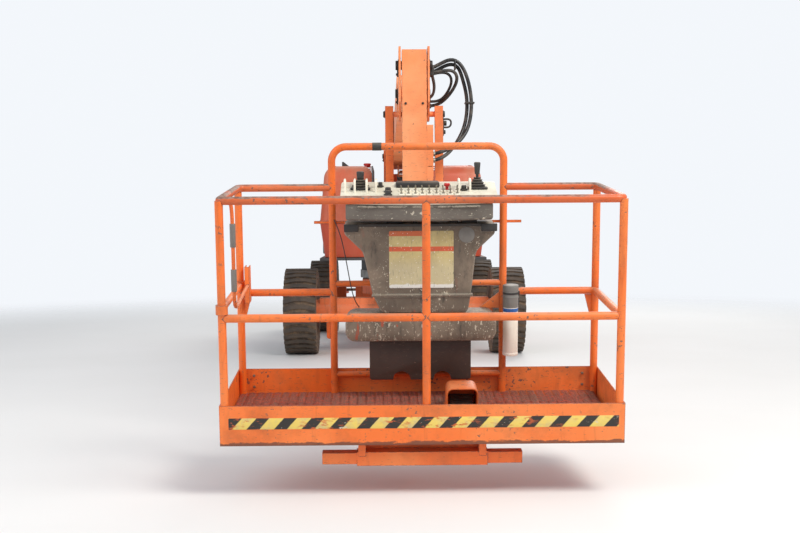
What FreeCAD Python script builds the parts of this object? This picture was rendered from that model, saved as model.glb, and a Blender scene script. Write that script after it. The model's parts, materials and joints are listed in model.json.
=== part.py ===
import FreeCAD
import Part
import Sketcher
import math
import os

# Articulating boom lift with a platform on a hanging jib, in millimetres and degrees.
# X points right as seen from the platform end, Y points from the platform to the tail, Z is up.
# The tyres stand on Z = 0 and the swing axis is at X = 0, Y = slewY.

document = FreeCAD.newDocument("BoomLift")
sheet = document.addObject("Spreadsheet::Sheet", "sizes")

sizeTable = (
    # name, value
    ("slewY", 2822.7),
    ("pinGap", 0.5),
    ("padGap", 0.5),
    ("seatGap", 0.3),
    ("sideGap", 6),
    # wheels and axles
    ("tyreDiameter", 832),
    ("tyreWide", 307),
    ("lugCount", 36),
    ("lugDeep", 22),
    ("lugHalfWide", 20),
    ("lugSweep", 26),
    ("lugFlatHalf", 50),
    ("beadInset", 25),
    ("beadHigh", 45),
    ("rimDiameter", 420),
    ("rimWall", 12),
    ("rimDish", 110),
    ("wheelbase", 2340),
    ("driveWide", 2300),
    ("steerWide", 2110),
    ("beamLow", 376),
    ("beamHigh", 543),
    ("driveBeamHalf", 820),
    ("driveBeamDeep", 180),
    ("hubRadius", 112),
    ("steerHubRadius", 82),
    ("hubGap", 0.3),
    ("kingpinX", 690),
    ("kingpinRadius", 24),
    ("forkThick", 25),
    ("forkHalfDeep", 60),
    ("forkReach", 152),
    ("steerBeamDeep", 150),
    ("steerArm", 150),
    ("tieRodRadius", 17),
    # engine, tanks and ground controls on the deck
    ("bayInner", 400),
    ("bayOuter", 740),
    ("engineFront", 350),
    ("engineBack", 420),
    ("engineHigh", 560),
    ("engineInset", 50),
    ("engineTop", 700),
    ("tankFront", 600),
    ("tankBack", 100),
    ("tankHigh", 520),
    ("tankCapRadius", 40),
    ("sideInner", 560),
    ("sideOuter", 800),
    ("sideFront", 580),
    ("sideBack", 780),
    ("oilHigh", 480),
    ("oilCapRadius", 35),
    ("controlsHigh", 560),
    ("doorThick", 12),
    ("doorLow", 180),
    # tray, panel, joysticks and foot switch of the console
    ("trayHalf", 375),
    ("trayDeep", 240),
    ("trayLow", 938),
    ("trayHigh", 1045),
    ("panelHalf", 390),
    ("panelDeep", 255),
    ("panelLow", 1078),
    ("panelHigh", 1135),
    ("stickDeep", 120),
    ("stickLow", 1080),
    ("stickLeft", 290),
    ("stickLeftRise", 125),
    ("stickRight", 295),
    ("stickRightRise", 160),
    ("stickRadius", 12),
    ("bootRadius", 32),
    ("bootRise", 65),
    ("switchX", 205),
    ("switchHalf", 80),
    ("switchFront", 430),
    ("switchBack", 250),
    ("switchHigh", 110),
    ("switchLip", 40),
    ("guardBarLow", 919),
    ("guardBarHigh", 933),
    ("tubeBelow", 325),
    ("tubeAbove", 42),
    # chassis frame
    ("frameHalf", 420),
    ("frameEndHalf", 300),
    ("frameTaperStart", 480),
    ("frameTaperEnd", 700),
    ("frameLow", 420),
    ("frameHigh", 690),
    ("frameWall", 14),
    ("frameOverhang", 130),
    ("lugThick", 20),
    ("lugRadius", 45),
    ("lugBore", 25),
    ("lugX", 230),
    ("bearingRadius", 450),
    ("bearingInner", 330),
    ("bearingHigh", 80),
    # turntable
    ("deckLow", 895),
    ("deckThick", 25),
    ("deckHalf", 842),
    ("deckFront", 800),
    ("plateInner", 175),
    ("plateThick", 20),
    ("wallInner", 300),
    ("wallThick", 12),
    ("hoodFront", 750),
    ("hoodBack", 560),
    ("hoodHigh", 1854),
    ("hoodSkin", 8),
    ("hoodRound", 90),
    ("hoodEndRound", 140),
    ("hoodEndSlope", 70),
    ("hoodGap", 6),
    ("weightFront", 800),
    ("weightBack", 1400),
    ("weightHalf", 900),
    ("weightHigh", 1700),
    ("weightRound", 260),
    ("weightSlotHalf", 240),
    ("weightSlotBack", 1220),
    # tower boom, its link and the upright
    ("towerPivotY", -620),
    ("towerPivotZ", 1220),
    ("towerRun", 1600),
    ("towerRise", 70),
    ("towerHalfWide", 110),
    ("towerHalfDeep", 130),
    ("towerWall", 10),
    ("linkBack", 110),
    ("linkUp", 236),
    ("linkInner", 122),
    ("linkThick", 38),
    ("linkHalfDeep", 35),
    ("bossRadius", 50),
    ("pinRadius", 25),
    ("mainPivotY", 920),
    ("mainPivotZ", 2040),
    # main boom
    ("baseHalfWide", 115),
    ("baseHalfDeep", 150),
    ("boomWall", 8),
    ("baseTail", 100),
    ("baseMouth", 2600),
    ("mainEarBack", 900),
    ("mainEarDown", 240),
    ("flyHalfWide", 94),
    ("flyHalfDeep", 130),
    ("flyRear", 1700),
    ("collarLong", 70),
    ("collarThick", 12),
    # jib
    ("jibReach", 5900),
    ("jibPivotZ", 2158),
    ("jibLong", 1250),
    ("jibHalfWide", 69),
    ("jibHalfDeep", 55),
    ("jibWall", 6),
    ("jibAbove", 82),
    ("jibEarOut", 100),
    ("jibEarDown", 950),
    ("yokeBack", 360),
    ("yokeInner", 75),
    ("yokeThick", 12),
    ("jibLinkBack", 87),
    ("jibLinkDown", 266),
    ("jibLinkInner", 118),
    ("jibLinkThick", 47),
    ("jibLinkHalfDeep", 28),
    ("noseBack", 160),
    ("linkPinRadius", 16),
    ("hoseRadius", 10),
    ("hoseBend", 45),
    ("hoseReach", 150),
    ("hoseSplit", 200),
    ("clipSunk", 8),
    # platform, in its own frame with the rotator axis as Z and the floor top at 0
    ("rotatorAhead", 210),
    ("floorHeight", 390),
    ("platformTilt", 6.5),
    ("platformHalf", 936),
    ("platformBack", 279),
    ("platformDeep", 719),
    ("railRadius", 19),
    ("railHigh", 1125),
    ("midHigh", 565),
    ("railBend", 70),
    ("toeLow", 34),
    ("toeHigh", 157),
    ("toeThick", 4),
    ("floorThick", 22),
    ("rotatorRadius", 72),
    ("rotatorLow", 250),
    ("rotatorHigh", 440),
    ("armThick", 22),
    ("spineHalf", 60),
    ("hoopHalf", 457),
    ("hoopHigh", 1332),
    ("hoopBend", 75),
    ("guardBarHalf", 533),
    ("tubeRadius", 40),
    ("consoleDeep", 180),
    # lift cylinders
    ("barrelRadius", 48),
    ("jibBarrelRadius", 38),
    ("rodRadius", 26),
    ("eyeHalf", 25),
    ("eyeRadius", 36),
    ("earGap", 5),
    ("earThick", 14),
)

for row, (name, value) in enumerate(sizeTable, start=1):
    sheet.set(f"A{row}", name)
    sheet.set(f"B{row}", str(value))
    sheet.setAlias(f"B{row}", name)
document.recompute()


class Size:
    # A length that knows both its value and the sheet expression that gives it.
    def __init__(self, value, text):
        self.value = value
        self.text = text

    def __add__(self, other):
        other = sized(other)
        return Size(self.value + other.value, f"({self.text} + {other.text})")

    def __sub__(self, other):
        other = sized(other)
        return Size(self.value - other.value, f"({self.text} - {other.text})")

    def __mul__(self, other):
        other = sized(other)
        return Size(self.value * other.value, f"({self.text} * {other.text})")

    def __truediv__(self, other):
        other = sized(other)
        return Size(self.value / other.value, f"({self.text} / {other.text})")

    def __radd__(self, other):
        return sized(other) + self

    def __rsub__(self, other):
        return sized(other) - self

    def __rmul__(self, other):
        return sized(other) * self

    def __neg__(self):
        return sized(0) - self


def sized(number):
    return number if isinstance(number, Size) else Size(float(number), f"({float(number)})")


class Sizes:
    pass


s = Sizes()
for name, value in sizeTable:
    setattr(s, name, Size(float(value), f"sizes.{name}"))

nodes = []


def bind(thing, field, size):
    size = sized(size)
    if "sizes." in size.text:
        thing.setExpression(field, size.text)
    else:
        thing.setExpression(field, None)
        if field.startswith("Placement.Base."):
            base = thing.Placement.Base
            setattr(base, field[-1], size.value)
            thing.Placement = FreeCAD.Placement(base, thing.Placement.Rotation)
        else:
            setattr(thing, field, size.value)


def place(thing, x, y, z):
    bind(thing, "Placement.Base.x", x)
    bind(thing, "Placement.Base.y", y)
    bind(thing, "Placement.Base.z", z)


def block(name, xs, ys, zs):
    # A box between pairs of planes.
    box = document.addObject("Part::Box", name)
    for field, (low, high) in zip(("Length", "Width", "Height"), (xs, ys, zs)):
        bind(box, field, sized(high) - low)
    place(box, xs[0], ys[0], zs[0])
    return box


def rod(name, axis, radius, low, high, at):
    # A round bar along X, Y or Z from low to high, at the other two coordinates.
    bar = document.addObject("Part::Cylinder", name)
    bind(bar, "Radius", radius)
    bind(bar, "Height", sized(high) - low)
    vector = FreeCAD.Vector
    if axis == "X":
        bar.Placement = FreeCAD.Placement(vector(), FreeCAD.Rotation(vector(0, 1, 0), 90))
        place(bar, low, at[0], at[1])
    elif axis == "Y":
        bar.Placement = FreeCAD.Placement(vector(), FreeCAD.Rotation(vector(1, 0, 0), -90))
        place(bar, at[0], low, at[1])
    else:
        place(bar, at[0], at[1], low)
    return bar


def sketched(body, name, role, outline):
    # A closed outline of straight runs on one of the body's own planes, each corner tied to the sheet.
    sketch = body.newObject("Sketcher::SketchObject", name)
    plane = [item for item in body.Origin.OriginFeatures if item.Role == role][0]
    sketch.AttachmentSupport = [(plane, "")]
    sketch.MapMode = "FlatFace"
    corners = [(sized(a), sized(b)) for a, b in outline]
    count = len(corners)
    points = [FreeCAD.Vector(a.value, b.value, 0) for a, b in corners]
    for index in range(count):
        sketch.addGeometry(Part.LineSegment(points[index], points[(index + 1) % count]), False)
    for index in range(count):
        sketch.addConstraint(Sketcher.Constraint("Coincident", index, 2, (index + 1) % count, 1))
    for index, corner in enumerate(corners):
        for kind, size in zip(("DistanceX", "DistanceY"), corner):
            number = sketch.addConstraint(Sketcher.Constraint(kind, -1, 1, index, 1, size.value))
            if "sizes." in size.text:
                sketch.setExpression(f"Constraints[{number}]", size.text)
    return sketch, points


def plate(name, normal, low, high, outline, rounds=None):
    # A flat piece: an outline of corners in YZ, XZ or XY, thick from low to high along its normal.
    # rounds gives the radius of some of its corners by their place in the outline.
    body = document.addObject("PartDesign::Body", name)
    role = {"X": "YZ_Plane", "Y": "XZ_Plane", "Z": "XY_Plane"}[normal]
    sketch, points = sketched(body, name + "Outline", role, outline)
    pad = body.newObject("PartDesign::Pad", name + "Thickness")
    pad.Profile = sketch
    bind(pad, "Length", sized(high) - low)
    if normal == "X":
        place(body, low, 0, 0)
    elif normal == "Y":
        place(body, 0, high, 0)
    else:
        place(body, 0, 0, low)
    if rounds:
        document.recompute()
        for index, radius in rounds.items():
            edge = cornerEdge(body, normal, points[index])
            base = body.Tip
            fillet = body.newObject("PartDesign::Fillet", name + "Round")
            fillet.Base = (base, [edge])
            bind(fillet, "Radius", radius)
            body.Tip = fillet
            document.recompute()
    return body


def cornerEdge(body, normal, point):
    # The name of the edge that runs along the normal through a corner of the outline.
    axis = {"X": (1, 2), "Y": (0, 2), "Z": (0, 1)}[normal]
    for number, edge in enumerate(body.Tip.Shape.Edges, start=1):
        ends = [vertex.Point for vertex in edge.Vertexes]
        if len(ends) == 2 and all(
            abs(end[axis[0]] - point.x) < 0.01 and abs(end[axis[1]] - point.y) < 0.01 for end in ends
        ):
            return f"Edge{number}"
    raise ValueError(f"no corner of {body.Name} at {point}")


def revolved(name, outline, at):
    # A piece turned about X: outline pairs are (along the axis, radius).
    body = document.addObject("PartDesign::Body", name)
    sketch, points = sketched(body, name + "Profile", "XZ_Plane", outline)
    turned = body.newObject("PartDesign::Revolution", name + "Turned")
    turned.Profile = sketch
    line = [item for item in body.Origin.OriginFeatures if item.Role == "X_Axis"][0]
    turned.ReferenceAxis = (line, [""])
    turned.Angle = 360
    place(body, *at)
    return body


def fused(name, pieces):
    union = document.addObject("Part::MultiFuse", name)
    union.Shapes = pieces
    return union


def cut(name, base, tools):
    cutter = tools[0] if len(tools) == 1 else fused(name + "Tools", tools)
    result = document.addObject("Part::Cut", name)
    result.Base = base
    result.Tool = cutter
    return result


def common(name, first, second):
    shared = document.addObject("Part::Common", name)
    shared.Base = first
    shared.Tool = second
    return shared


def tube(name, route, radius, bend=0.0):
    # A round tube along straight runs joined by arcs, from a list of points.
    points = [FreeCAD.Vector(*[sized(number).value for number in point]) for point in route]
    edges = []
    start = points[0]
    for index in range(1, len(points) - 1):
        corner = points[index]
        before = (points[index - 1] - corner).normalize()
        after = (points[index + 1] - corner).normalize()
        half = before.getAngle(after) / 2
        reach = sized(bend).value / math.tan(half)
        first = corner + before * reach
        last = corner + after * reach
        toCentre = (before + after).normalize()
        middle = corner + toCentre * (sized(bend).value / math.sin(half) - sized(bend).value)
        edges.append(Part.LineSegment(start, first).toShape())
        edges.append(Part.Arc(first, middle, last).toShape())
        start = last
    edges.append(Part.LineSegment(start, points[-1]).toShape())
    path = Part.Wire(edges)
    circle = Part.Wire(Part.makeCircle(sized(radius).value, points[0], points[1] - points[0]))
    piece = document.addObject("Part::Feature", name)
    piece.Shape = path.makePipeShell([circle], True, False)
    return piece


def node(label, thing):
    thing.Label = label
    nodes.append(thing)
    return thing


def pair(inner, thick):
    # The two spans across X of twin plates, right and left.
    return ((inner, inner + thick), (-(inner + thick), -inner))


def between(a, b):
    # Two planes in rising order.
    return sorted((sized(a), sized(b)), key=lambda size: size.value)


def onSide(side, near, far):
    # The span across X of a piece that stands on the right (1) or left (-1) side.
    return between(sized(near) * side, sized(far) * side)


# Reference points
nearAxleY = s.slewY - s.wheelbase / 2
farAxleY = s.slewY + s.wheelbase / 2
axleZ = s.tyreDiameter / 2
driveTyreX = s.driveWide / 2 - s.tyreWide / 2
steerTyreX = s.steerWide / 2 - s.tyreWide / 2
towerY = s.slewY + s.towerPivotY
towerZ = s.towerPivotZ
towerEndY = towerY + s.towerRun
towerEndZ = towerZ + s.towerRise
mainY = s.slewY + s.mainPivotY
mainZ = s.mainPivotZ
jibY = s.slewY - s.jibReach
jibZ = s.jibPivotZ
noseY = jibY + s.yokeBack
noseZ = mainZ


# Wheels: a tyre and a rim on each axle end
def tyreShape():
    # Flat facets all round: chevron lugs and grooves, side walls, bead slopes and the rim's seat.
    half = s.tyreWide.value / 2
    flat = s.lugFlatHalf.value
    outer = s.tyreDiameter.value / 2
    pitch = 360 / s.lugCount.value
    lug = math.degrees(s.lugHalfWide.value / outer)
    sweep = math.degrees(s.lugSweep.value / outer)
    rows = (
        # across, turn of the row
        (-half, -sweep),
        (-flat, 0),
        (flat, 0),
        (half, -sweep),
    )
    count = round(s.lugCount.value)
    seat = (s.rimDiameter.value / 2 + s.hubGap.value) / math.cos(math.pi / count)

    def corner(across, radius, degrees):
        turn = math.radians(degrees)
        return FreeCAD.Vector(across, radius * math.sin(turn), radius * math.cos(turn))

    crown = []
    for across, turn in rows:
        ring = []
        for number in range(count):
            middle = number * pitch + turn
            root = outer - s.lugDeep.value
            for radius, offset in ((root, -lug), (outer, -lug), (outer, lug), (root, lug)):
                ring.append(corner(across, radius, middle + offset))
        crown.append(ring)
    faces = []

    def band(first, second):
        # Two triangles between each pair of neighbouring points of two rings.
        size = len(first)
        for index in range(size):
            after = (index + 1) % size
            near = (first[index], second[index], second[after])
            far = (first[index], second[after], first[after])
            for trio in (near, far):
                faces.append(Part.Face(Part.makePolygon([*trio, trio[0]])))

    for first, second in zip(crown, crown[1:]):
        band(first, second)
    beads = []
    for side, edge in ((-1, crown[0]), (1, crown[-1])):
        turn = rows[0][1]
        rings = [
            [corner(across * side, radius, number * pitch + turn) for number in range(count)]
            for across, radius in ((half, seat + s.beadHigh.value), (half - s.beadInset.value, seat))
        ]
        outlines = [Part.makePolygon(ring + [ring[0]]) for ring in (edge, rings[0])]
        wall = Part.makeFace(outlines, "Part::FaceMakerBullseye")
        faces.append(wall)
        band(rings[0], rings[1])
        beads.append(rings[1])
    band(beads[0], beads[1])
    shell = Part.makeShell(faces)
    shell.sewShape()
    solid = Part.Solid(shell)
    if solid.Volume < 0:
        solid.reverse()
    return solid


treaded = tyreShape()


def tyre(name, x, y):
    made = document.addObject("Part::Feature", name)
    made.Shape = treaded
    place(made, x, y, axleZ)
    return node(name, made)


def rim(name, x, y, side):
    half = s.tyreWide / 2 - 30
    outer = s.rimDiameter / 2 - s.padGap
    inner = outer - s.rimWall
    dish = s.tyreWide / 2 - s.rimDish
    outline = (
        (-half, outer),
        (half, outer),
        (half, inner),
        (dish + s.rimWall, inner),
        (dish + s.rimWall, 90),
        (dish + 45, 80),
        (dish + 45, 0),
        (dish, 0),
        (dish, inner),
        (-half, inner),
    )
    outline = [(sized(a) * side, b) for a, b in outline]
    return node(name, revolved(name, outline, (x, y, axleZ)))


for side, word in ((-1, "left"), (1, "right")):
    tyre(f"tyre_drive_{word}", driveTyreX * side, nearAxleY)
    rim(f"rim_drive_{word}", driveTyreX * side, nearAxleY, side)
    tyre(f"tyre_steer_{word}", steerTyreX * side, farAxleY)
    rim(f"rim_steer_{word}", steerTyreX * side, farAxleY, side)

# Drive axle with a hub motor in each wheel
driveDishX = driveTyreX + s.tyreWide / 2 - s.rimDish
driveBeam = block(
    "DriveBeam",
    (-s.driveBeamHalf, s.driveBeamHalf),
    (nearAxleY - s.driveBeamDeep / 2, nearAxleY + s.driveBeamDeep / 2),
    (s.beamLow, s.beamHigh),
)
driveHub = rod(
    "DriveHubs", "X", s.hubRadius, -(driveDishX - s.hubGap), driveDishX - s.hubGap, (nearAxleY, axleZ)
)
node("drive_axle", fused("DriveAxle", [driveBeam, driveHub]))

# Steering axle: a beam with a fork round each knuckle
forkTop = s.beamHigh
forkLow = s.beamLow
steerBeam = block(
    "SteerBeam",
    (-(s.kingpinX - s.forkReach), s.kingpinX - s.forkReach),
    (farAxleY - s.steerBeamDeep / 2, farAxleY + s.steerBeamDeep / 2),
    (forkLow, forkTop),
)
forkPieces = [steerBeam]
for side, word in ((-1, "Left"), (1, "Right")):
    edges = onSide(side, s.kingpinX - s.forkReach - 5, s.kingpinX + 45)
    for low, level in ((forkTop - s.forkThick, "Top"), (forkLow, "Low")):
        forkPieces.append(
            block(
                f"Fork{level}{word}",
                edges,
                (farAxleY - s.forkHalfDeep, farAxleY + s.forkHalfDeep),
                (low, low + s.forkThick),
            )
        )
kingpinHoles = [
    rod(
        f"KingpinHole{word}", "Z", s.kingpinRadius + s.pinGap, forkLow - 5, forkTop + 5,
        (s.kingpinX * side, farAxleY),
    )
    for side, word in ((-1, "Left"), (1, "Right"))
]
node("steer_axle", cut("SteerAxle", fused("SteerAxleSolid", forkPieces), kingpinHoles))

# Knuckles with their kingpins, hubs and steering arms
steerDishX = steerTyreX + s.tyreWide / 2 - s.rimDish
armZ = axleZ + 20
for side, word in ((-1, "left"), (1, "right")):
    title = word.capitalize()

    lump = block(
        "KnuckleBlock" + title,
        onSide(side, s.kingpinX - 42, s.kingpinX + 84),
        (farAxleY - 50, farAxleY + 50),
        (forkLow + s.forkThick + s.pinGap, forkTop - s.forkThick - s.pinGap),
    )
    pinPlace = (s.kingpinX * side, farAxleY)
    pin = rod("Kingpin" + title, "Z", s.kingpinRadius, forkLow - 8, forkTop + 8, pinPlace)
    hubEnds = onSide(side, s.kingpinX + 80, steerDishX - s.hubGap)
    hub = rod("SteerHub" + title, "X", s.steerHubRadius, *hubEnds, (farAxleY, axleZ))
    arm = plate(
        "SteerArm" + title,
        "Z",
        armZ,
        armZ + 24,
        [
            ((s.kingpinX - 30) * side, farAxleY),
            ((s.kingpinX + 30) * side, farAxleY),
            ((s.kingpinX - 10) * side, farAxleY + s.steerArm + 28),
            ((s.kingpinX - 66) * side, farAxleY + s.steerArm + 28),
        ],
    )
    node(f"knuckle_{word}", fused("Knuckle" + title, [lump, pin, hub, arm]))

# Tie rod lying on the ends of the steering arms
tieZ = armZ + 24 + s.pinGap + s.tieRodRadius
tieEndX = s.kingpinX - 38
node("tie_rod", rod("TieRod", "X", s.tieRodRadius, -tieEndX, tieEndX, (farAxleY + s.steerArm, tieZ)))

# Chassis frame: a box open below, wider under the bearing, with tie-down lugs at both ends
frameFront = nearAxleY - s.driveBeamDeep / 2 - s.frameOverhang
frameBack = farAxleY + s.steerBeamDeep / 2 + s.frameOverhang - 30


def frameOutline(shrink):
    return [
        (-(s.frameEndHalf - shrink), frameFront + shrink),
        (s.frameEndHalf - shrink, frameFront + shrink),
        (s.frameEndHalf - shrink, s.slewY - s.frameTaperEnd),
        (s.frameHalf - shrink, s.slewY - s.frameTaperStart),
        (s.frameHalf - shrink, s.slewY + s.frameTaperStart),
        (s.frameEndHalf - shrink, s.slewY + s.frameTaperEnd),
        (s.frameEndHalf - shrink, frameBack - shrink),
        (-(s.frameEndHalf - shrink), frameBack - shrink),
        (-(s.frameEndHalf - shrink), s.slewY + s.frameTaperEnd),
        (-(s.frameHalf - shrink), s.slewY + s.frameTaperStart),
        (-(s.frameHalf - shrink), s.slewY - s.frameTaperStart),
        (-(s.frameEndHalf - shrink), s.slewY - s.frameTaperEnd),
    ]


frameZ = s.beamHigh
frameShell = plate("FrameShell", "Z", frameZ, s.frameHigh, frameOutline(sized(0)))
frameHollow = plate("FrameHollow", "Z", frameZ - 1, s.frameHigh - s.frameWall, frameOutline(s.frameWall))
framePieces = [frameShell]
lugHoles = []
lugZ = s.frameHigh - 85
for endName, endY, way in (("Front", frameFront, -1), ("Back", frameBack, 1)):
    eyeY = endY + s.lugRadius * way
    for side, word in ((-1, "Left"), (1, "Right")):
        eyeX = s.lugX * side
        root = endY - 2 * way
        framePieces.append(
            block(
                f"LugRoot{endName}{word}",
                (eyeX - s.lugRadius, eyeX + s.lugRadius),
                between(root, eyeY),
                (lugZ - s.lugThick / 2, lugZ + s.lugThick / 2),
            )
        )
        framePieces.append(
            rod(
                f"LugEye{endName}{word}", "Z", s.lugRadius,
                lugZ - s.lugThick / 2, lugZ + s.lugThick / 2, (eyeX, eyeY),
            )
        )
        lugHoles.append(
            rod(f"LugHole{endName}{word}", "Z", s.lugBore, lugZ - s.lugThick, lugZ + s.lugThick, (eyeX, eyeY))
        )
frameOpen = cut("FrameOpen", fused("FrameSolid", framePieces), [frameHollow])
node("chassis_frame", cut("ChassisFrame", frameOpen, lugHoles))

# Slewing bearing
bearingTop = s.frameHigh + s.bearingHigh
bearingOuter = rod("BearingOuter", "Z", s.bearingRadius, s.frameHigh, bearingTop, (0, s.slewY))
bearingHole = rod("BearingHole", "Z", s.bearingInner, s.frameHigh - 5, bearingTop + 5, (0, s.slewY))
node("slewing_bearing", cut("SlewingBearing", bearingOuter, [bearingHole]))

# Turntable deck with the race on the bearing and twin plates for the tower boom
deckTop = s.deckLow + s.deckThick
race = rod("DeckRace", "Z", s.bearingRadius - 10, bearingTop + s.padGap, s.deckLow + 5, (0, s.slewY))
raceHole = rod("RaceHole", "Z", s.bearingInner, bearingTop - 5, s.deckLow + 2, (0, s.slewY))
deckPlate = plate(
    "DeckPlate",
    "Z",
    s.deckLow,
    deckTop,
    [
        (-s.deckHalf, s.slewY - s.deckFront),
        (s.deckHalf, s.slewY - s.deckFront),
        (s.deckHalf, s.slewY + s.weightSlotBack),
        (-s.deckHalf, s.slewY + s.weightSlotBack),
    ],
)
node("turntable_deck", fused("TurntableDeck", [cut("DeckRaceRing", race, [raceHole]), deckPlate]))

linkY = towerY - s.linkBack
linkZ = towerZ + s.linkUp
mountPieces = []
for index, (low, high) in enumerate(pair(s.plateInner, s.plateThick)):
    mountPieces.append(
        plate(
            f"MountPlate{index}",
            "X",
            low,
            high,
            [
                (linkY - 70, deckTop),
                (s.slewY + 300, deckTop),
                (s.slewY + 300, deckTop + 60),
                (towerY + 130, towerZ - 60),
                (towerY + 80, towerZ + 70),
                (linkY + 60, linkZ + 60),
                (linkY - 70, linkZ + 60),
            ],
        )
    )
mountPinHalf = s.plateInner + s.plateThick + 12
mountPins = [
    rod("TowerPin", "X", s.pinRadius, -mountPinHalf, mountPinHalf, (towerY, towerZ)),
    rod("LinkPin", "X", s.pinRadius, -mountPinHalf, mountPinHalf, (linkY, linkZ)),
]
towerFootY = towerY + 300
towerFootZ = towerZ - 240
footPin = rod("TowerFootPin", "X", s.pinRadius, -s.plateInner - 5, s.plateInner + 5, (towerFootY, towerFootZ))
node("boom_mount", fused("BoomMount", mountPieces + mountPins + [footPin]))

# Fixed inner walls of the engine and tank bays, carrying the hood hinges
hingeX = s.wallInner + s.wallThick / 2
hingeZ = s.hoodHigh - 4
hingeRadius = 6
wallHigh = hingeZ - hingeRadius - s.pinGap
hingeStarts = (-600, -160, 300)
hingeLong = 120
for side, word in ((-1, "left"), (1, "right")):
    title = word.capitalize()
    edges = onSide(side, s.wallInner, s.wallInner + s.wallThick)
    wall = block("BayWall" + title, edges, (s.slewY - s.hoodFront, s.slewY + s.hoodBack), (deckTop, wallHigh))
    hinges = []
    for index, start in enumerate(hingeStarts):
        ends = (s.slewY + start, s.slewY + start + hingeLong)
        hinges.append(rod(f"HoodHinge{title}{index}", "Y", hingeRadius, *ends, (hingeX * side, hingeZ)))
        leafSides = (hingeX * side - 3, hingeX * side + 3)
        hinges.append(block(f"HingeLeaf{title}{index}", leafSides, ends, (wallHigh - 2, hingeZ)))
    node(f"bay_wall_{word}", fused("BayWallHinged" + title, [wall] + hinges))

# Hoods: a top, an outer side and two ends, open inside and below
hoodInnerX = hingeX + hingeRadius + s.sideGap
hoodLow = deckTop + s.hoodGap


def hoodSection(side, skin):
    inner = hoodInnerX - (50 if skin else 0)
    low = hoodLow - (50 if skin else 0)
    outer = s.deckHalf - skin
    top = s.hoodHigh - skin
    return [(inner * side, low), (outer * side, low), (outer * side, top), (inner * side, top)]


def hoodProfile(front, back, skin):
    # Seen from the side: upright lower ends that lean in towards the top.
    low = hoodLow - (60 if skin else 1)
    lean = s.hoodEndSlope
    return [
        (front + skin, low),
        (back - skin, low),
        (back - skin - lean, s.hoodHigh - skin),
        (front + skin + lean, s.hoodHigh - skin),
    ]


for side, word in ((-1, "left"), (1, "right")):
    title = word.capitalize()
    front = s.slewY - s.hoodFront
    back = s.slewY + s.hoodBack
    shapes = []
    for face, skin in (("Outer", 0), ("Inner", s.hoodSkin)):
        section = plate(
            f"Hood{face}Section{title}",
            "Y",
            front + skin,
            back - skin,
            hoodSection(side, skin),
            {2: s.hoodRound - skin},
        )
        profile = plate(
            f"Hood{face}Profile{title}",
            "X",
            *onSide(side, hoodInnerX - 60, s.deckHalf + 10),
            hoodProfile(front, back, skin),
            {2: s.hoodEndRound - skin, 3: s.hoodEndRound - skin},
        )
        shapes.append(common(f"Hood{face}{title}", section, profile))
    outer, inner = shapes
    shell = cut("HoodShell" + title, outer, [inner])
    knuckles = []
    for index, start in enumerate(hingeStarts):
        first = s.slewY + start + hingeLong + s.hubGap
        ends = (first, first + hingeLong)
        leaf = onSide(side, hingeX, hoodInnerX + 5)
        knuckles.append(rod(f"HoodKnuckle{title}{index}", "Y", hingeRadius, *ends, (hingeX * side, hingeZ)))
        knuckles.append(block(f"HoodLeaf{title}{index}", leaf, ends, (hingeZ - 3, hingeZ + 3)))
    node(f"hood_{word}", fused("Hood" + title, [shell] + knuckles))

# Engine, tanks and ground controls standing on the deck
seatZ = deckTop + s.seatGap
node("engine_block", fused("EngineBlock", [
    block(
        "EngineLump",
        (s.bayInner, s.bayOuter),
        (s.slewY - s.engineFront, s.slewY + s.engineBack),
        (seatZ, seatZ + s.engineHigh),
    ),
    block(
        "EngineTop",
        (s.bayInner + s.engineInset, s.bayOuter - s.engineInset),
        (s.slewY - s.engineFront + 2 * s.engineInset, s.slewY + s.engineBack - 2 * s.engineInset),
        (seatZ + s.engineHigh - 5, seatZ + s.engineTop),
    ),
]))
node("fuel_tank", fused("FuelTank", [
    block(
        "TankBody",
        (-s.bayOuter, -s.bayInner),
        (s.slewY - s.tankFront, s.slewY + s.tankBack),
        (seatZ, seatZ + s.tankHigh),
    ),
    rod(
        "TankCap", "Z", s.tankCapRadius, seatZ + s.tankHigh - 5, seatZ + s.tankHigh + 40,
        (-(s.bayInner + s.bayOuter) / 2, s.slewY - s.tankFront + 150),
    ),
]))
sideDeep = (s.slewY + s.sideFront, s.slewY + s.sideBack)
node("hydraulic_tank", fused("HydraulicTank", [
    block("OilBody", (s.sideInner, s.sideOuter), sideDeep, (seatZ, seatZ + s.oilHigh)),
    rod(
        "OilCap", "Z", s.oilCapRadius, seatZ + s.oilHigh - 5, seatZ + s.oilHigh + 30,
        ((s.sideInner + s.sideOuter) / 2, s.slewY + (s.sideFront + s.sideBack) / 2),
    ),
]))
node("ground_controls", fused("GroundControls", [
    block("ControlBox", (-s.sideOuter, -s.sideInner), sideDeep, (seatZ, seatZ + s.controlsHigh)),
    block(
        "ControlDoor",
        (-s.sideOuter - s.doorThick, -s.sideOuter + 1),
        (s.slewY + s.sideFront + 20, s.slewY + s.sideBack - 20),
        (seatZ + s.doorLow, seatZ + s.controlsHigh - 40),
    ),
]))

# Counterweight round the upright's slot
weightY = s.slewY + s.weightFront
node(
    "counterweight",
    plate(
        "Counterweight",
        "Z",
        seatZ,
        s.weightHigh,
        [
            (-s.weightHalf, weightY),
            (-s.weightSlotHalf, weightY),
            (-s.weightSlotHalf, s.slewY + s.weightSlotBack),
            (s.weightSlotHalf, s.slewY + s.weightSlotBack),
            (s.weightSlotHalf, weightY),
            (s.weightHalf, weightY),
            (s.weightHalf, s.slewY + s.weightBack),
            (-s.weightHalf, s.slewY + s.weightBack),
        ],
        {6: s.weightRound, 7: s.weightRound},
    ),
)


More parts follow.
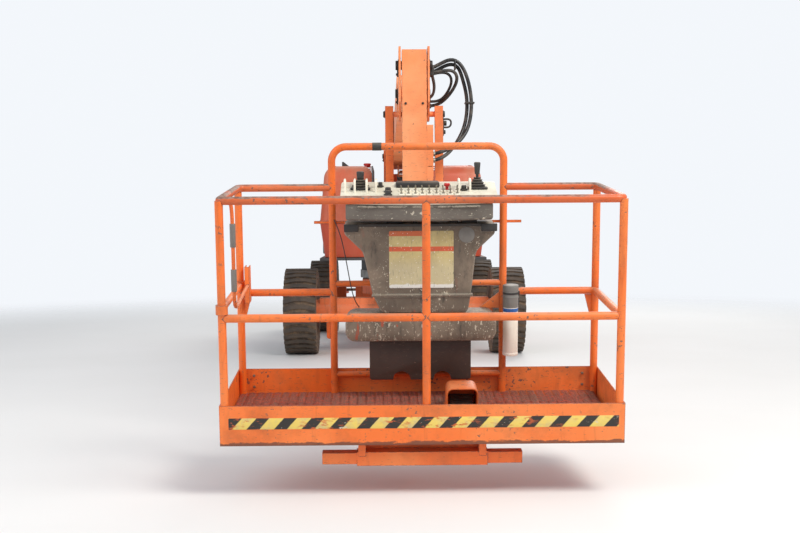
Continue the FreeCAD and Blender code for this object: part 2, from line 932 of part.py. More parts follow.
# Tower boom, in its own frame along Y from its foot pin, then laid at its rest angle
towerLong = math.hypot(s.towerRun.value, s.towerRise.value)
towerAngle = math.degrees(math.atan2(s.towerRise.value, s.towerRun.value))
towerPlace = FreeCAD.Placement(
    FreeCAD.Vector(0, towerY.value, towerZ.value), FreeCAD.Rotation(FreeCAD.Vector(1, 0, 0), towerAngle)
)
towerOuter = block(
    "TowerOuter",
    (-s.towerHalfWide, s.towerHalfWide),
    (-40, towerLong + 40),
    (-s.towerHalfDeep, s.towerHalfDeep),
)
towerInner = block(
    "TowerInner",
    (-(s.towerHalfWide - s.towerWall), s.towerHalfWide - s.towerWall),
    (-30, towerLong + 30),
    (-(s.towerHalfDeep - s.towerWall), s.towerHalfDeep - s.towerWall),
)
bossHalf = s.plateInner - s.sideGap
towerBosses = [
    rod(f"TowerBoss{index}", "X", s.bossRadius, -bossHalf, bossHalf, (along, 0))
    for index, along in enumerate((0, towerLong))
]
towerBores = [
    rod(f"TowerBore{index}", "X", s.pinRadius + s.pinGap, -bossHalf - 5, bossHalf + 5, (along, 0))
    for index, along in enumerate((0, towerLong))
]
towerEarAlong = 1000
towerEarDown = 220
earInner = s.eyeHalf + s.earGap


def ears(prefix, along, eye, root, spread=85):
    # Twin ears for a rod's eye. They stand on the boom's face at root and run along Y or Z past the eye.
    pieces = []
    tip = eye[1] if along == "Y" else eye[0]
    reach = 34 if tip.value > sized(root).value else -34
    for index, (low, high) in enumerate(pair(earInner, s.earThick)):
        if along == "Y":
            outline = [
                (eye[0] - spread, root),
                (eye[0] - 34, tip + reach),
                (eye[0] + 34, tip + reach),
                (eye[0] + spread, root),
            ]
        else:
            outline = [
                (root, eye[1] - spread),
                (tip + reach, eye[1] - 34),
                (tip + reach, eye[1] + 34),
                (root, eye[1] + spread),
            ]
        pieces.append(plate(f"{prefix}Ear{index}", "X", low, high, outline))
    return pieces


towerShell = cut("TowerShell", towerOuter, [towerInner])
towerEars = ears("Tower", "Y", (sized(towerEarAlong), sized(-towerEarDown)), -s.towerHalfDeep + 3)
towerSolid = fused("TowerSolid", [towerShell] + towerBosses + towerEars)
tower = node("tower_boom", cut("TowerBoom", towerSolid, towerBores))
tower.Placement = towerPlace

# Tower link: twin bars joined by two cross tubes
linkPieces = []
for index, (low, high) in enumerate(pair(s.linkInner, s.linkThick)):
    linkDeep = (-s.linkHalfDeep, s.linkHalfDeep)
    linkPieces.append(block(f"LinkBar{index}", (low, high), (-45, towerLong + 45), linkDeep))
for index, along in enumerate((420, 1150)):
    linkPieces.append(rod(f"LinkCross{index}", "X", 20, -s.linkInner - 5, s.linkInner + 5, (along, 0)))
linkBores = [
    rod(f"LinkBore{index}", "X", s.pinRadius + s.pinGap, -bossHalf - 5, bossHalf + 5, (along, 0))
    for index, along in enumerate((0, towerLong))
]
link = node("tower_link", cut("TowerLink", fused("TowerLinkSolid", linkPieces), linkBores))
link.Placement = FreeCAD.Placement(
    FreeCAD.Vector(0, linkY.value, linkZ.value), FreeCAD.Rotation(FreeCAD.Vector(1, 0, 0), towerAngle)
)

# Upright between the tower boom and the main boom
linkEndY = linkY + s.towerRun
linkEndZ = linkZ + s.towerRise
mainFootY = mainY - 220
mainFootZ = mainZ - 380
uprightPieces = []
for index, (low, high) in enumerate(pair(s.plateInner, s.plateThick)):
    uprightPieces.append(
        plate(
            f"UprightPlate{index}",
            "X",
            low,
            high,
            [
                (towerEndY - 60, towerEndZ - 65),
                (towerEndY + 75, towerEndZ - 65),
                (towerEndY + 75, mainZ + 30),
                (mainY + 30, mainZ + 85),
                (mainY - 60, mainZ + 60),
                (mainY - 80, mainZ - 160),
                (mainFootY - 60, mainFootZ + 50),
                (mainFootY - 60, mainFootZ - 60),
                (linkEndY - 90, linkEndZ - 60),
            ],
        )
    )
uprightReach = s.plateInner + s.plateThick + 12
for title, y, z, radius in (
    ("TowerEndPin", towerEndY, towerEndZ, s.pinRadius),
    ("LinkEndPin", linkEndY, linkEndZ, s.pinRadius),
    ("MainPin", mainY, mainZ, s.pinRadius),
    ("MainFootPin", mainFootY, mainFootZ, s.pinRadius),
):
    uprightPieces.append(rod(title, "X", radius, -uprightReach, uprightReach, (y, z)))
uprightPieces.append(
    block(
        "UprightWeb",
        (-s.plateInner - 1, s.plateInner + 1),
        (towerEndY + 55, towerEndY + 75),
        (towerEndZ + 110, mainZ - 200),
    )
)
node("upright", fused("Upright", uprightPieces))

# Main boom: the base section with its collar, wear pads and lift ears
baseFront = s.slewY - s.baseMouth
baseBack = mainY + s.baseTail
baseOuter = block(
    "BaseOuter",
    (-s.baseHalfWide, s.baseHalfWide),
    (baseFront, baseBack),
    (mainZ - s.baseHalfDeep, mainZ + s.baseHalfDeep),
)
baseInner = block(
    "BaseInner",
    (-(s.baseHalfWide - s.boomWall), s.baseHalfWide - s.boomWall),
    (baseFront - 5, baseBack - s.boomWall),
    (mainZ - s.baseHalfDeep + s.boomWall, mainZ + s.baseHalfDeep - s.boomWall),
)
collarOuter = block(
    "CollarOuter",
    (-(s.baseHalfWide + s.collarThick), s.baseHalfWide + s.collarThick),
    (baseFront, baseFront + s.collarLong),
    (mainZ - s.baseHalfDeep - s.collarThick, mainZ + s.baseHalfDeep + s.collarThick),
)
collarInner = block(
    "CollarInner",
    (-(s.baseHalfWide - 1), s.baseHalfWide - 1),
    (baseFront - 5, baseFront + s.collarLong + 5),
    (mainZ - s.baseHalfDeep + 1, mainZ + s.baseHalfDeep - 1),
)
basePieces = [cut("BaseShell", baseOuter, [baseInner]), cut("Collar", collarOuter, [collarInner])]
padY = (baseFront + 8, baseFront + s.collarLong - 5)
for index, way in enumerate((-1, 1)):
    zs = between(mainZ + (s.flyHalfDeep + s.padGap) * way, mainZ + (s.baseHalfDeep - s.boomWall + 1) * way)
    basePieces.append(block(f"MouthPadZ{index}", (-60, 60), padY, zs))
    xs = between((s.flyHalfWide + s.padGap) * way, (s.baseHalfWide - s.boomWall + 1) * way)
    basePieces.append(block(f"MouthPadX{index}", xs, padY, (mainZ - 80, mainZ + 80)))
basePieces.append(rod("MainBoss", "X", s.bossRadius + 5, -bossHalf, bossHalf, (mainY, mainZ)))
mainEarY = mainY - s.mainEarBack
mainEarZ = mainZ - s.mainEarDown
basePieces += ears("Main", "Y", (mainEarY, mainEarZ), mainZ - s.baseHalfDeep + 3)
mainBore = rod("MainBore", "X", s.pinRadius + s.pinGap, -bossHalf - 5, bossHalf + 5, (mainY, mainZ))
node("boom_base", cut("BoomBase", fused("BoomBaseSolid", basePieces), [mainBore]))

# Fly section with its rear pads and nose lugs
flyBack = s.slewY - s.flyRear
flyFront = noseY + s.noseBack
flyOuter = block(
    "FlyOuter",
    (-s.flyHalfWide, s.flyHalfWide),
    (flyFront, flyBack),
    (mainZ - s.flyHalfDeep, mainZ + s.flyHalfDeep),
)
flyInner = block(
    "FlyInner",
    (-(s.flyHalfWide - s.boomWall), s.flyHalfWide - s.boomWall),
    (flyFront + 16, flyBack + 5),
    (mainZ - s.flyHalfDeep + s.boomWall, mainZ + s.flyHalfDeep - s.boomWall),
)
flyPieces = [cut("FlyShell", flyOuter, [flyInner])]
for index, way in enumerate((-1, 1)):
    zs = between(mainZ + (s.flyHalfDeep - 1) * way, mainZ + (s.baseHalfDeep - s.boomWall - s.padGap) * way)
    flyPieces.append(block(f"FlyPadZ{index}", (-60, 60), (flyBack - 80, flyBack - 5), zs))
    xs = between((s.flyHalfWide - 1) * way, (s.baseHalfWide - s.boomWall - s.padGap) * way)
    flyPieces.append(block(f"FlyPadX{index}", xs, (flyBack - 80, flyBack - 5), (mainZ - 80, mainZ + 80)))
for index, (low, high) in enumerate(pair(54, 16)):
    flyPieces.append(
        plate(
            f"NoseLug{index}",
            "X",
            low,
            high,
            [
                (flyFront + 2, noseZ + 110),
                (noseY - 20, noseZ + 50),
                (noseY - 52, noseZ + 20),
                (noseY - 52, noseZ - 20),
                (noseY - 20, noseZ - 50),
                (flyFront + 2, noseZ - 110),
            ],
        )
    )
noseBore = rod("NoseBore", "X", s.pinRadius + s.pinGap, -75, 75, (noseY, noseZ))
node("boom_fly", cut("BoomFly", fused("BoomFlySolid", flyPieces), [noseBore]))

# Yoke at the boom's nose, kept upright: twin plates with the pins of jib, links and jib cylinder
jibLinkY = jibY + s.jibLinkBack
jibLinkZ = jibZ - s.jibLinkDown
yokeOut = s.yokeInner + s.yokeThick
yokePieces = []
for index, (low, high) in enumerate(pair(s.yokeInner, s.yokeThick)):
    yokePieces.append(
        plate(
            f"YokePlate{index}",
            "X",
            low,
            high,
            [
                (jibY - 50, jibZ + 100),
                (jibY + 60, jibZ + 100),
                (noseY + 45, noseZ + 60),
                (noseY + 55, noseZ - 40),
                (jibLinkY + 45, jibLinkZ - 40),
                (jibLinkY - 45, jibLinkZ - 40),
                (jibY - 50, jibZ - 208),
            ],
        )
    )
jibLinkOut = s.jibLinkInner + s.jibLinkThick
for title, y, z, radius, reach in (
    ("NosePin", noseY, noseZ, s.pinRadius, yokeOut + 14),
    ("JibPin", jibY, jibZ, s.pinRadius, yokeOut + 14),
    ("JibLinkPin", jibLinkY, jibLinkZ, s.linkPinRadius, jibLinkOut + 8),
):
    yokePieces.append(rod(title, "X", radius, -reach, reach, (y, z)))
node("nose_yoke", fused("NoseYoke", yokePieces))

# Jib boom hanging upright
jibEndZ = jibZ - s.jibLong
jibOuter = block(
    "JibOuter",
    (-s.jibHalfWide, s.jibHalfWide),
    (jibY - s.jibHalfDeep, jibY + s.jibHalfDeep),
    (jibEndZ - 60, jibZ + s.jibAbove),
)
jibInner = block(
    "JibInner",
    (-(s.jibHalfWide - s.jibWall), s.jibHalfWide - s.jibWall),
    (jibY - s.jibHalfDeep + s.jibWall, jibY + s.jibHalfDeep - s.jibWall),
    (jibEndZ - 65, jibZ + s.jibAbove - s.jibWall),
)
jibPieces = []
for index, z in enumerate((jibZ, jibEndZ)):
    bossEnds = (-s.jibHalfWide + 1, s.jibHalfWide - 1)
    jibPieces.append(rod(f"JibBoss{index}", "X", s.bossRadius - 8, *bossEnds, (jibY, z)))
jibEarY = jibY + s.jibEarOut
jibEarZ = jibZ - s.jibEarDown
jibPieces += ears("Jib", "Z", (jibEarY, jibEarZ), jibY + s.jibHalfDeep - 3, 60)
jibBores = [
    rod(f"JibBore{index}", "X", s.pinRadius + s.pinGap, -s.jibHalfWide - 5, s.jibHalfWide + 5, (jibY, z))
    for index, z in enumerate((jibZ, jibEndZ))
]
jibSlot = block(
    "JibSlot",
    (-(s.jibHalfWide - s.jibWall), s.jibHalfWide - s.jibWall),
    (jibY + s.jibHalfDeep - s.jibWall - 1, jibY + s.jibHalfDeep + 1),
    (jibEarZ + 70, jibZ + s.jibAbove - s.jibWall),
)
jibShell = cut("JibShell", jibOuter, [jibInner, jibSlot])
node("jib_boom", cut("JibBoom", fused("JibBoomSolid", [jibShell] + jibPieces), jibBores))

# Level links on both sides of the jib
jibLinkEndZ = jibLinkZ - s.jibLong
for side, word in ((-1, "left"), (1, "right")):
    title = word.capitalize()
    edges = onSide(side, s.jibLinkInner, jibLinkOut)
    column = block(
        "JibLinkColumn" + title,
        edges,
        (jibLinkY - s.jibLinkHalfDeep, jibLinkY + s.jibLinkHalfDeep),
        (jibLinkEndZ - 45, jibLinkZ + 45),
    )
    bores = [
        rod(
            f"JibLinkBore{title}{index}", "X", s.linkPinRadius + s.pinGap,
            edges[0] - 5, edges[1] + 5, (jibLinkY, z),
        )
        for index, z in enumerate((jibLinkZ, jibLinkEndZ))
    ]
    node(f"level_link_{word}", cut("LevelLink" + title, column, bores))

# Hoses: two long ones cross from the yoke to the jib in a wide loop, a short one comes back to the yoke
hoseTopY = jibLinkY
hoseSideX = jibLinkOut + s.hoseReach
hosePieces = []
for index, (back, down) in enumerate(((0, 0), (26, 24))):
    y = hoseTopY + back
    outer = hoseSideX - down
    hosePieces.append(
        tube(
            f"HoseUpper{index}",
            [
                (yokeOut + s.clipSunk, y, jibZ - 8 - down),
                (outer - 170, y, jibZ + 30 - down),
                (outer - 45, y, jibZ + 12 - down),
                (outer, y, jibZ - 95),
                (outer, y, jibZ - s.hoseSplit),
            ],
            s.hoseRadius,
            s.hoseBend,
        )
    )
hosePieces.append(
    tube(
        "HoseShort",
        [
            (yokeOut + s.clipSunk, hoseTopY - 26, jibZ - 34),
            (outer - 90, hoseTopY - 26, jibZ - 30),
            (outer - 60, hoseTopY + 30, jibZ - 120),
            (outer - 90, hoseTopY + 90, jibZ - 210),
            (yokeOut, hoseTopY + 90, jibZ - 210),
        ],
        s.hoseRadius,
        s.hoseBend,
    )
)
clipBlock = block(
    "HoseClip", (yokeOut, yokeOut + 30), (hoseTopY - 42, hoseTopY + 42), (jibZ - 52, jibZ + 10)
)
node("hose_upper", fused("HoseUpper", [clipBlock] + hosePieces))
dropPieces = []
dropY = hoseTopY - 118
for index, (back, down) in enumerate(((0, 0), (26, 24))):
    y = hoseTopY + back
    outer = hoseSideX - down
    endZ = jibZ - 500 - 36 * index
    dropPieces.append(
        tube(
            f"HoseDrop{index}",
            [
                (outer, y, jibZ - s.hoseSplit),
                (outer, y, jibZ - s.hoseSplit - 60),
                (outer - 70, dropY + 20, jibZ - 330),
                (outer - 115, dropY, jibZ - 410),
                (s.jibHalfWide + 60, dropY, endZ + 25),
                (s.jibHalfWide + s.clipSunk, dropY, endZ),
            ],
            s.hoseRadius,
            s.hoseBend,
        )
    )
dropBlock = block(
    "HoseSocket",
    (s.jibHalfWide, s.jibHalfWide + 26),
    (dropY - 18, dropY + 18),
    (jibZ - 560, jibZ - 476),
)
node("hose_drop", fused("HoseDrop", [dropBlock] + dropPieces))

# Bracket at the jib's lower end with the platform rotator
rotatorY = jibY - s.rotatorAhead
tilt = s.platformTilt.value
tiltTurn = FreeCAD.Rotation(FreeCAD.Vector(1, 0, 0), tilt)
rotatorPlace = FreeCAD.Placement(FreeCAD.Vector(0, rotatorY.value, s.floorHeight.value), tiltTurn)
bracketPieces = []
for index, (low, high) in enumerate(pair(s.yokeInner, s.yokeThick)):
    bracketPieces.append(
        plate(
            f"BracketPlate{index}",
            "X",
            low,
            high,
            [
                (jibY - 110, jibEndZ - 20),
                (jibY - 40, jibEndZ + 60),
                (jibY + 40, jibEndZ + 60),
                (jibLinkY + 45, jibLinkEndZ + 60),
                (jibLinkY + 45, jibLinkEndZ - 45),
                (jibLinkY - 50, jibLinkEndZ - 45),
                (jibY - 110, jibLinkEndZ),
            ],
        )
    )
bracketPieces.append(rod("JibEndPin", "X", s.pinRadius, -yokeOut - 14, yokeOut + 14, (jibY, jibEndZ)))
for side, word in ((-1, "Left"), (1, "Right")):
    ends = onSide(side, s.yokeInner, jibLinkOut + 8)
    bracketPieces.append(rod("JibLinkEndPin" + word, "X", s.linkPinRadius, *ends, (jibLinkY, jibLinkEndZ)))
bracketPieces.append(
    block(
        "BracketSaddle",
        (-yokeOut, yokeOut),
        (jibY - 205, jibY - 95),
        (jibLinkEndZ + 30, jibLinkEndZ + 150),
    )
)
rotatorBody = rod("RotatorBody", "Z", s.rotatorRadius, s.rotatorLow, s.rotatorHigh, (0, 0))
rotatorHolder = document.addObject("Part::Compound", "RotatorTilted")
rotatorHolder.Links = [rotatorBody]
rotatorHolder.Placement = rotatorPlace
bracketPieces.append(rotatorHolder)
node("jib_bracket", fused("JibBracket", bracketPieces))


# Lift cylinders: the barrel turns on its foot pin and the rod ends in an eye between the ears
def liftCylinder(prefix, foot, end, mouth, footBore, outer, rodStart):
    across = FreeCAD.Vector(0, end[0].value - foot[0].value, end[1].value - foot[1].value)
    length = across.Length
    turn = FreeCAD.Rotation(FreeCAD.Vector(1, 0, 0), math.degrees(math.atan2(-across.y, across.z)))
    placing = FreeCAD.Placement(FreeCAD.Vector(0, foot[0].value, foot[1].value), turn)
    title = prefix.capitalize()
    barrel = [
        rod(title + "FootEye", "X", s.eyeRadius + 6, -s.eyeHalf, s.eyeHalf, (0, 0)),
        rod(title + "Barrel", "Z", outer, 30, mouth, (0, 0)),
        rod(title + "Gland", "Z", outer + 4, mouth - 45, mouth, (0, 0)),
    ]
    hollow = [
        rod(title + "BarrelBore", "Z", s.rodRadius + s.padGap, rodStart - 5, mouth + 5, (0, 0)),
        rod(title + "FootBore", "X", footBore + s.pinGap, -s.eyeHalf - 5, s.eyeHalf + 5, (0, 0)),
    ]
    made = node(f"{prefix}_cylinder", cut(title + "Cylinder", fused(title + "BarrelSolid", barrel), hollow))
    made.Placement = placing
    plunger = [
        rod(title + "Rod", "Z", s.rodRadius, rodStart, length - 20, (0, 0)),
        rod(title + "Eye", "X", s.eyeRadius, -s.eyeHalf, s.eyeHalf, (0, length)),
    ]
    made = node(f"{prefix}_rod", fused(title + "Plunger", plunger))
    made.Placement = placing


towerCos = math.cos(math.radians(towerAngle))
towerSin = math.sin(math.radians(towerAngle))
towerEarY = towerY + towerEarAlong * towerCos + towerEarDown * towerSin
towerEarZ = towerZ + towerEarAlong * towerSin - towerEarDown * towerCos
liftCylinder("tower", (towerFootY, towerFootZ), (towerEarY, towerEarZ), 590, s.pinRadius, s.barrelRadius, 80)
liftCylinder("main", (mainFootY, mainFootZ), (mainEarY, mainEarZ), 600, s.pinRadius, s.barrelRadius, 80)
liftCylinder("jib", (jibLinkY, jibLinkZ), (jibEarY, jibEarZ), 605, s.linkPinRadius, s.jibBarrelRadius, 50)

# Platform pieces are made in the platform's own frame
backY = -s.platformBack
frontY = -(s.platformBack + s.platformDeep)
railBackY = backY - s.railRadius
railFrontY = frontY + s.railRadius
railX = s.platformHalf - s.railRadius
railZ = s.railHigh - s.railRadius


def platformNode(label, pieces):
    if len(pieces) > 1:
        whole = fused(label.title().replace("_", ""), pieces)
    else:
        whole = document.addObject("Part::Compound", label.title().replace("_", ""))
        whole.Links = pieces
    whole.Placement = rotatorPlace
    return node(label, whole)


# Support: arms above and below the rotator, a back post and beams under the floor
armOutline = [(-60, 62), (60, 62), (85, -60), (85, backY + 12), (-85, backY + 12), (-85, -60)]
armTop = s.rotatorHigh + s.padGap
armLow = s.rotatorLow - s.padGap - s.armThick
supportPieces = [
    plate("SupportArmTop", "Z", armTop, armTop + s.armThick, armOutline),
    plate("SupportArmLow", "Z", armLow, armLow + s.armThick, armOutline),
    block("SupportPost", (-85, 85), (backY + 8, backY + 30), (-s.floorThick - 60, armTop + s.armThick)),
    block(
        "SupportSpine",
        (-s.spineHalf, s.spineHalf),
        (frontY + 120, backY + 30),
        (-s.floorThick - 60, -s.floorThick),
    ),
    block("UnderBeam", (-307, 307), (frontY + 34, frontY + 100), (-147, -81)),
]
for side, word in ((-1, "Left"), (1, "Right")):
    edges = onSide(side, 265, 300)
    hangerDeep = (frontY + 30, frontY + 160)
    supportPieces.append(block("UnderHanger" + word, edges, hangerDeep, (-100, -s.floorThick)))
    edges = onSide(side, 306, 470)
    supportPieces.append(block("UnderStub" + word, edges, (frontY + 40, frontY + 94), (-140, -86)))
underHigh = (-s.floorThick - 60, -s.floorThick)
supportPieces.append(block("UnderCross", (-301, 301), (frontY + 100, frontY + 160), underHigh))
platformNode("platform_support", supportPieces)

floorSides = (-(s.platformHalf - 2), s.platformHalf - 2)
floorPlate = block("FloorPlate", floorSides, (frontY + 2, backY - 2), (-s.floorThick, 0))
platformNode("platform_floor", [floorPlate])

toeGap = 0.3
toeOuter = block(
    "ToeOuter",
    (-(s.platformHalf + toeGap + s.toeThick), s.platformHalf + toeGap + s.toeThick),
    (frontY - toeGap - s.toeThick, backY + toeGap + s.toeThick),
    (-s.toeLow, s.toeHigh),
)
toeInner = block(
    "ToeInner",
    (-(s.platformHalf + toeGap), s.platformHalf + toeGap),
    (frontY - toeGap, backY + toeGap),
    (-s.toeLow - 5, s.toeHigh + 5),
)
spineNotch = block(
    "SpineNotch",
    (-(s.spineHalf + toeGap), s.spineHalf + toeGap),
    (backY - 20, backY + 20),
    (-s.toeLow - 5, -s.floorThick + toeGap),
)
platformNode("toe_boards", [cut("ToeRing", toeOuter, [toeInner, spineNotch])])

# Guard rails: a top loop, posts under it and mid rails between the posts, with a guard hoop at the back
hoopX = s.hoopHalf - s.railRadius
hoopZ = s.hoopHigh - s.railRadius


def hoopTube(name):
    return tube(
        name,
        [
            (-hoopX, railBackY, 0),
            (-hoopX, railBackY, hoopZ),
            (hoopX, railBackY, hoopZ),
            (hoopX, railBackY, 0),
        ],
        s.railRadius,
        s.hoopBend,
    )


def topTube(name):
    return tube(
        name,
        [
            (-hoopX, railBackY, railZ),
            (-railX, railBackY, railZ),
            (-railX, railFrontY, railZ),
            (railX, railFrontY, railZ),
            (railX, railBackY, railZ),
            (hoopX, railBackY, railZ),
        ],
        s.railRadius,
        s.railBend / 2,
    )


postPlaces = (
    # x, y
    (-railX, railFrontY),
    (sized(20), railFrontY),
    (railX, railFrontY),
    (railX, railBackY),
    (-railX, railBackY),
)


def posts(name):
    return [
        rod(f"{name}{index}", "Z", s.railRadius, 0, railZ, (x, y))
        for index, (x, y) in enumerate(postPlaces)
    ]


platformNode("rail_top", [cut("RailTopTrimmed", topTube("RailTop"), [hoopTube("RailTopTrim")])])
railPosts = fused("RailPosts", posts("RailPost"))
platformNode("rail_posts", [cut("RailPostsTrimmed", railPosts, [topTube("RailPostTrim")])])
midRails = [
    tube(
        "RailMidFront",
        [
            (-railX, railFrontY, s.midHigh),
            (railX, railFrontY, s.midHigh),
            (railX, railBackY, s.midHigh),
            (hoopX, railBackY, s.midHigh),
        ],
        s.railRadius,
        s.railBend / 2,
    ),
    tube("RailMidBack", [(-railX, railBackY, s.midHigh), (-hoopX, railBackY, s.midHigh)], s.railRadius),
]
railMid = fused("RailMid", midRails)
platformNode("rail_mid", [cut("RailMidTrimmed", railMid, posts("RailMidTrim") + [hoopTube("RailMidHoop")])])

# Entry bar that slides up the left posts
entryEnd = s.railRadius + 4
entryHalf = 22
entryZ = s.midHigh + s.railRadius + entryHalf + s.hubGap
entryBar = [
    rod("EntryTube", "Y", s.railRadius - 3, railFrontY + entryEnd, railBackY - entryEnd, (-railX, entryZ)),
]
for index, y in enumerate((railFrontY, railBackY)):
    ringHigh = (entryZ - entryHalf, entryZ + entryHalf)
    ring = rod(f"EntryRing{index}", "Z", s.railRadius + 9, *ringHigh, (-railX, y))
    hole = rod(f"EntryHole{index}", "Z", s.railRadius + s.padGap, entryZ - 30, entryZ + 30, (-railX, y))
    entryBar.append(cut(f"EntrySleeve{index}", ring, [hole]))
platformNode("entry_bar", entryBar)

# Console: a moulded body with a tray and panel between the hoop's legs
consoleBack = railBackY + 15
consoleOutline = [
    (-252, 130),
    (265, 130),
    (265, 334),
    (392, 334),
    (392, 480),
    (246, 484),
    (262, 575),
    (287, 795),
    (382, 885),
    (382, 938),
    (-372, 938),
    (-372, 885),
    (-280, 795),
    (-232, 575),
    (-190, 484),
    (-372, 480),
    (-372, 334),
    (-252, 334),
]
consoleRounds = {3: 40, 4: 55, 7: 90, 8: 18, 11: 18, 12: 90, 15: 55, 16: 40}
consoleFront = consoleBack - s.consoleDeep
consoleShell = plate("ConsoleShell", "Y", consoleFront, consoleBack, consoleOutline, consoleRounds)
consoleNotches = [
    rod(f"ConsoleNotch{index}", "Y", 45, consoleFront - 5, consoleBack + 5, (x, 130))
    for index, x in enumerate((-88, 119))
]
consoleStep = block("ConsoleStep", (-270, 270), (consoleFront - 5, consoleFront + 35), (125, 332))
traySlot = block("TraySlot", (352, 372), (consoleFront - 5, consoleFront + 15), (392, 442))
consoleBody = cut("ConsoleBody", consoleShell, consoleNotches + [consoleStep, traySlot])
platformNode("console_body", [consoleBody])
guardPieces = [hoopTube("GuardHoop")]
for index, z in enumerate((130, 610)):
    guardPieces.append(rod(f"GuardCross{index}", "X", s.railRadius - 4, -hoopX, hoopX, (railBackY, z)))
guardPieces.append(
    block(
        "GuardBar",
        (-s.guardBarHalf, s.guardBarHalf),
        (railBackY + s.railRadius - 3, railBackY + s.railRadius + 5),
        (s.guardBarLow, s.guardBarHigh),
    )
)
guardPieces.append(
    plate("GuardTab", "Y", railBackY - 6, railBackY + 6, [
        (-hoopX - 38, 320),
        (-hoopX, 320),
        (-hoopX, 415),
        (-hoopX - 38, 407),
    ], {0: 14})
)
guardPieces.append(
    plate("GuardGusset", "Y", railBackY - 6, railBackY + 6, [(hoopX, 477), (hoopX, 575), (hoopX - 125, 477)])
)
platformNode("console_guard", [cut("ConsoleGuardOpen", fused("GuardSolid", guardPieces), [consoleBody])])
trayOuter = block(
    "TrayOuter", (-s.trayHalf, s.trayHalf), (consoleBack - s.trayDeep, consoleBack), (s.trayLow, s.trayHigh)
)
platformNode("console_tray", [trayOuter])
consolePanel = plate(
    "ConsolePanel",
    "X",
    -s.panelHalf,
    s.panelHalf,
    [
        (consoleBack - s.panelDeep, s.trayHigh + s.seatGap),
        (consoleBack, s.trayHigh + s.seatGap),
        (consoleBack, s.panelHigh),
        (consoleBack - 60, s.panelHigh),
        (consoleBack - s.panelDeep, s.panelLow),
    ],
)
platformNode("console_panel", [consolePanel])
joysticks = []
stickY = consoleBack - s.stickDeep
for index, (x, rise) in enumerate(((-s.stickLeft, s.stickLeftRise), (s.stickRight, s.stickRightRise))):
    stickHigh = s.stickLow + rise
    bootHigh = s.stickLow + s.bootRise
    joysticks.append(rod(f"JoystickStem{index}", "Z", s.stickRadius, s.stickLow, stickHigh, (x, stickY)))
    joysticks.append(rod(f"JoystickBoot{index}", "Z", s.bootRadius, s.stickLow, bootHigh, (x, stickY)))
stick = [fused(f"Joystick{index}", joysticks[2 * index: 2 * index + 2]) for index in range(2)]
platformNode("joysticks", [cut("JoysticksTrimmed", fused("JoysticksBoth", stick), [consolePanel])])
platformNode(
    "foot_switch",
    [
        plate(
            "FootSwitch",
            "X",
            s.switchX - s.switchHalf,
            s.switchX + s.switchHalf,
            [
                (consoleBack - s.switchFront, s.seatGap),
                (consoleBack - s.switchBack, s.seatGap),
                (consoleBack - s.switchBack, s.switchHigh),
                (consoleBack - s.switchBack - 80, s.switchHigh),
                (consoleBack - s.switchFront, s.switchLip),
            ],
        )
    ],
)
tubeX = hoopX + 35
tubeY = railBackY - s.railRadius - s.tubeRadius - s.hubGap
documentTube = rod(
    "DocumentTube", "Z", s.tubeRadius, s.midHigh - s.tubeBelow, s.midHigh + s.tubeAbove, (tubeX, tubeY)
)
platformNode("document_tube", [documentTube])

# Everything is checked before it is written
document.recompute()
for thing in document.Objects:
    if "Invalid" in thing.State or "Error" in thing.State:
        raise ValueError(f"{thing.Name} failed: {thing.State}")
os.makedirs("parts", exist_ok=True)
whole = FreeCAD.BoundBox()
for thing in nodes:
    if thing.Shape.isNull() or not thing.Shape.isValid():
        raise ValueError(f"{thing.Label} has no valid shape")
    whole.add(thing.Shape.BoundBox)
for thing in nodes:
    thing.Shape.exportStep(f"parts/{thing.Label}.step")
print(len(nodes), "nodes in", whole)
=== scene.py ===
import json
import math

import bmesh
import bpy
from mathutils import Matrix, Vector


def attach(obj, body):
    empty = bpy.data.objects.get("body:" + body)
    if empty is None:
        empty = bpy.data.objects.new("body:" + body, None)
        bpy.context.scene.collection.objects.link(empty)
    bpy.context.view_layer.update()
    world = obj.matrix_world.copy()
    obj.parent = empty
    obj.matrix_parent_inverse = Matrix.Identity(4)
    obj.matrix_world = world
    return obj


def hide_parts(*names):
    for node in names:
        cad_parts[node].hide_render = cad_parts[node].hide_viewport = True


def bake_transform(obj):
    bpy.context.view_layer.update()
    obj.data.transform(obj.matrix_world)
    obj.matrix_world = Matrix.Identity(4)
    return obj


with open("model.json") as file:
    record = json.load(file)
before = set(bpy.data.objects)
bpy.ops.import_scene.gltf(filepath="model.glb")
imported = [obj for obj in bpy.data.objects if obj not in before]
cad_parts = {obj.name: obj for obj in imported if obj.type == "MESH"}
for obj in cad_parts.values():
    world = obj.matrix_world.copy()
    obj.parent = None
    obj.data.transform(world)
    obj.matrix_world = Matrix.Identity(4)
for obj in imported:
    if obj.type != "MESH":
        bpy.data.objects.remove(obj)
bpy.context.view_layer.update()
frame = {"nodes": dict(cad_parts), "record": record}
print("frame loaded,", len(frame["nodes"]), "nodes")

# The work platform hangs a little nose down, so its parts are made level,
# from the swing axis, and then placed
platformFacts = {"axis": (0, -3.2873, 0.39), "tilt": 6.5}
platformTurn = Matrix.Rotation(math.radians(platformFacts["tilt"]), 4, "X")
platformPlace = Matrix.Translation(platformFacts["axis"]) @ platformTurn


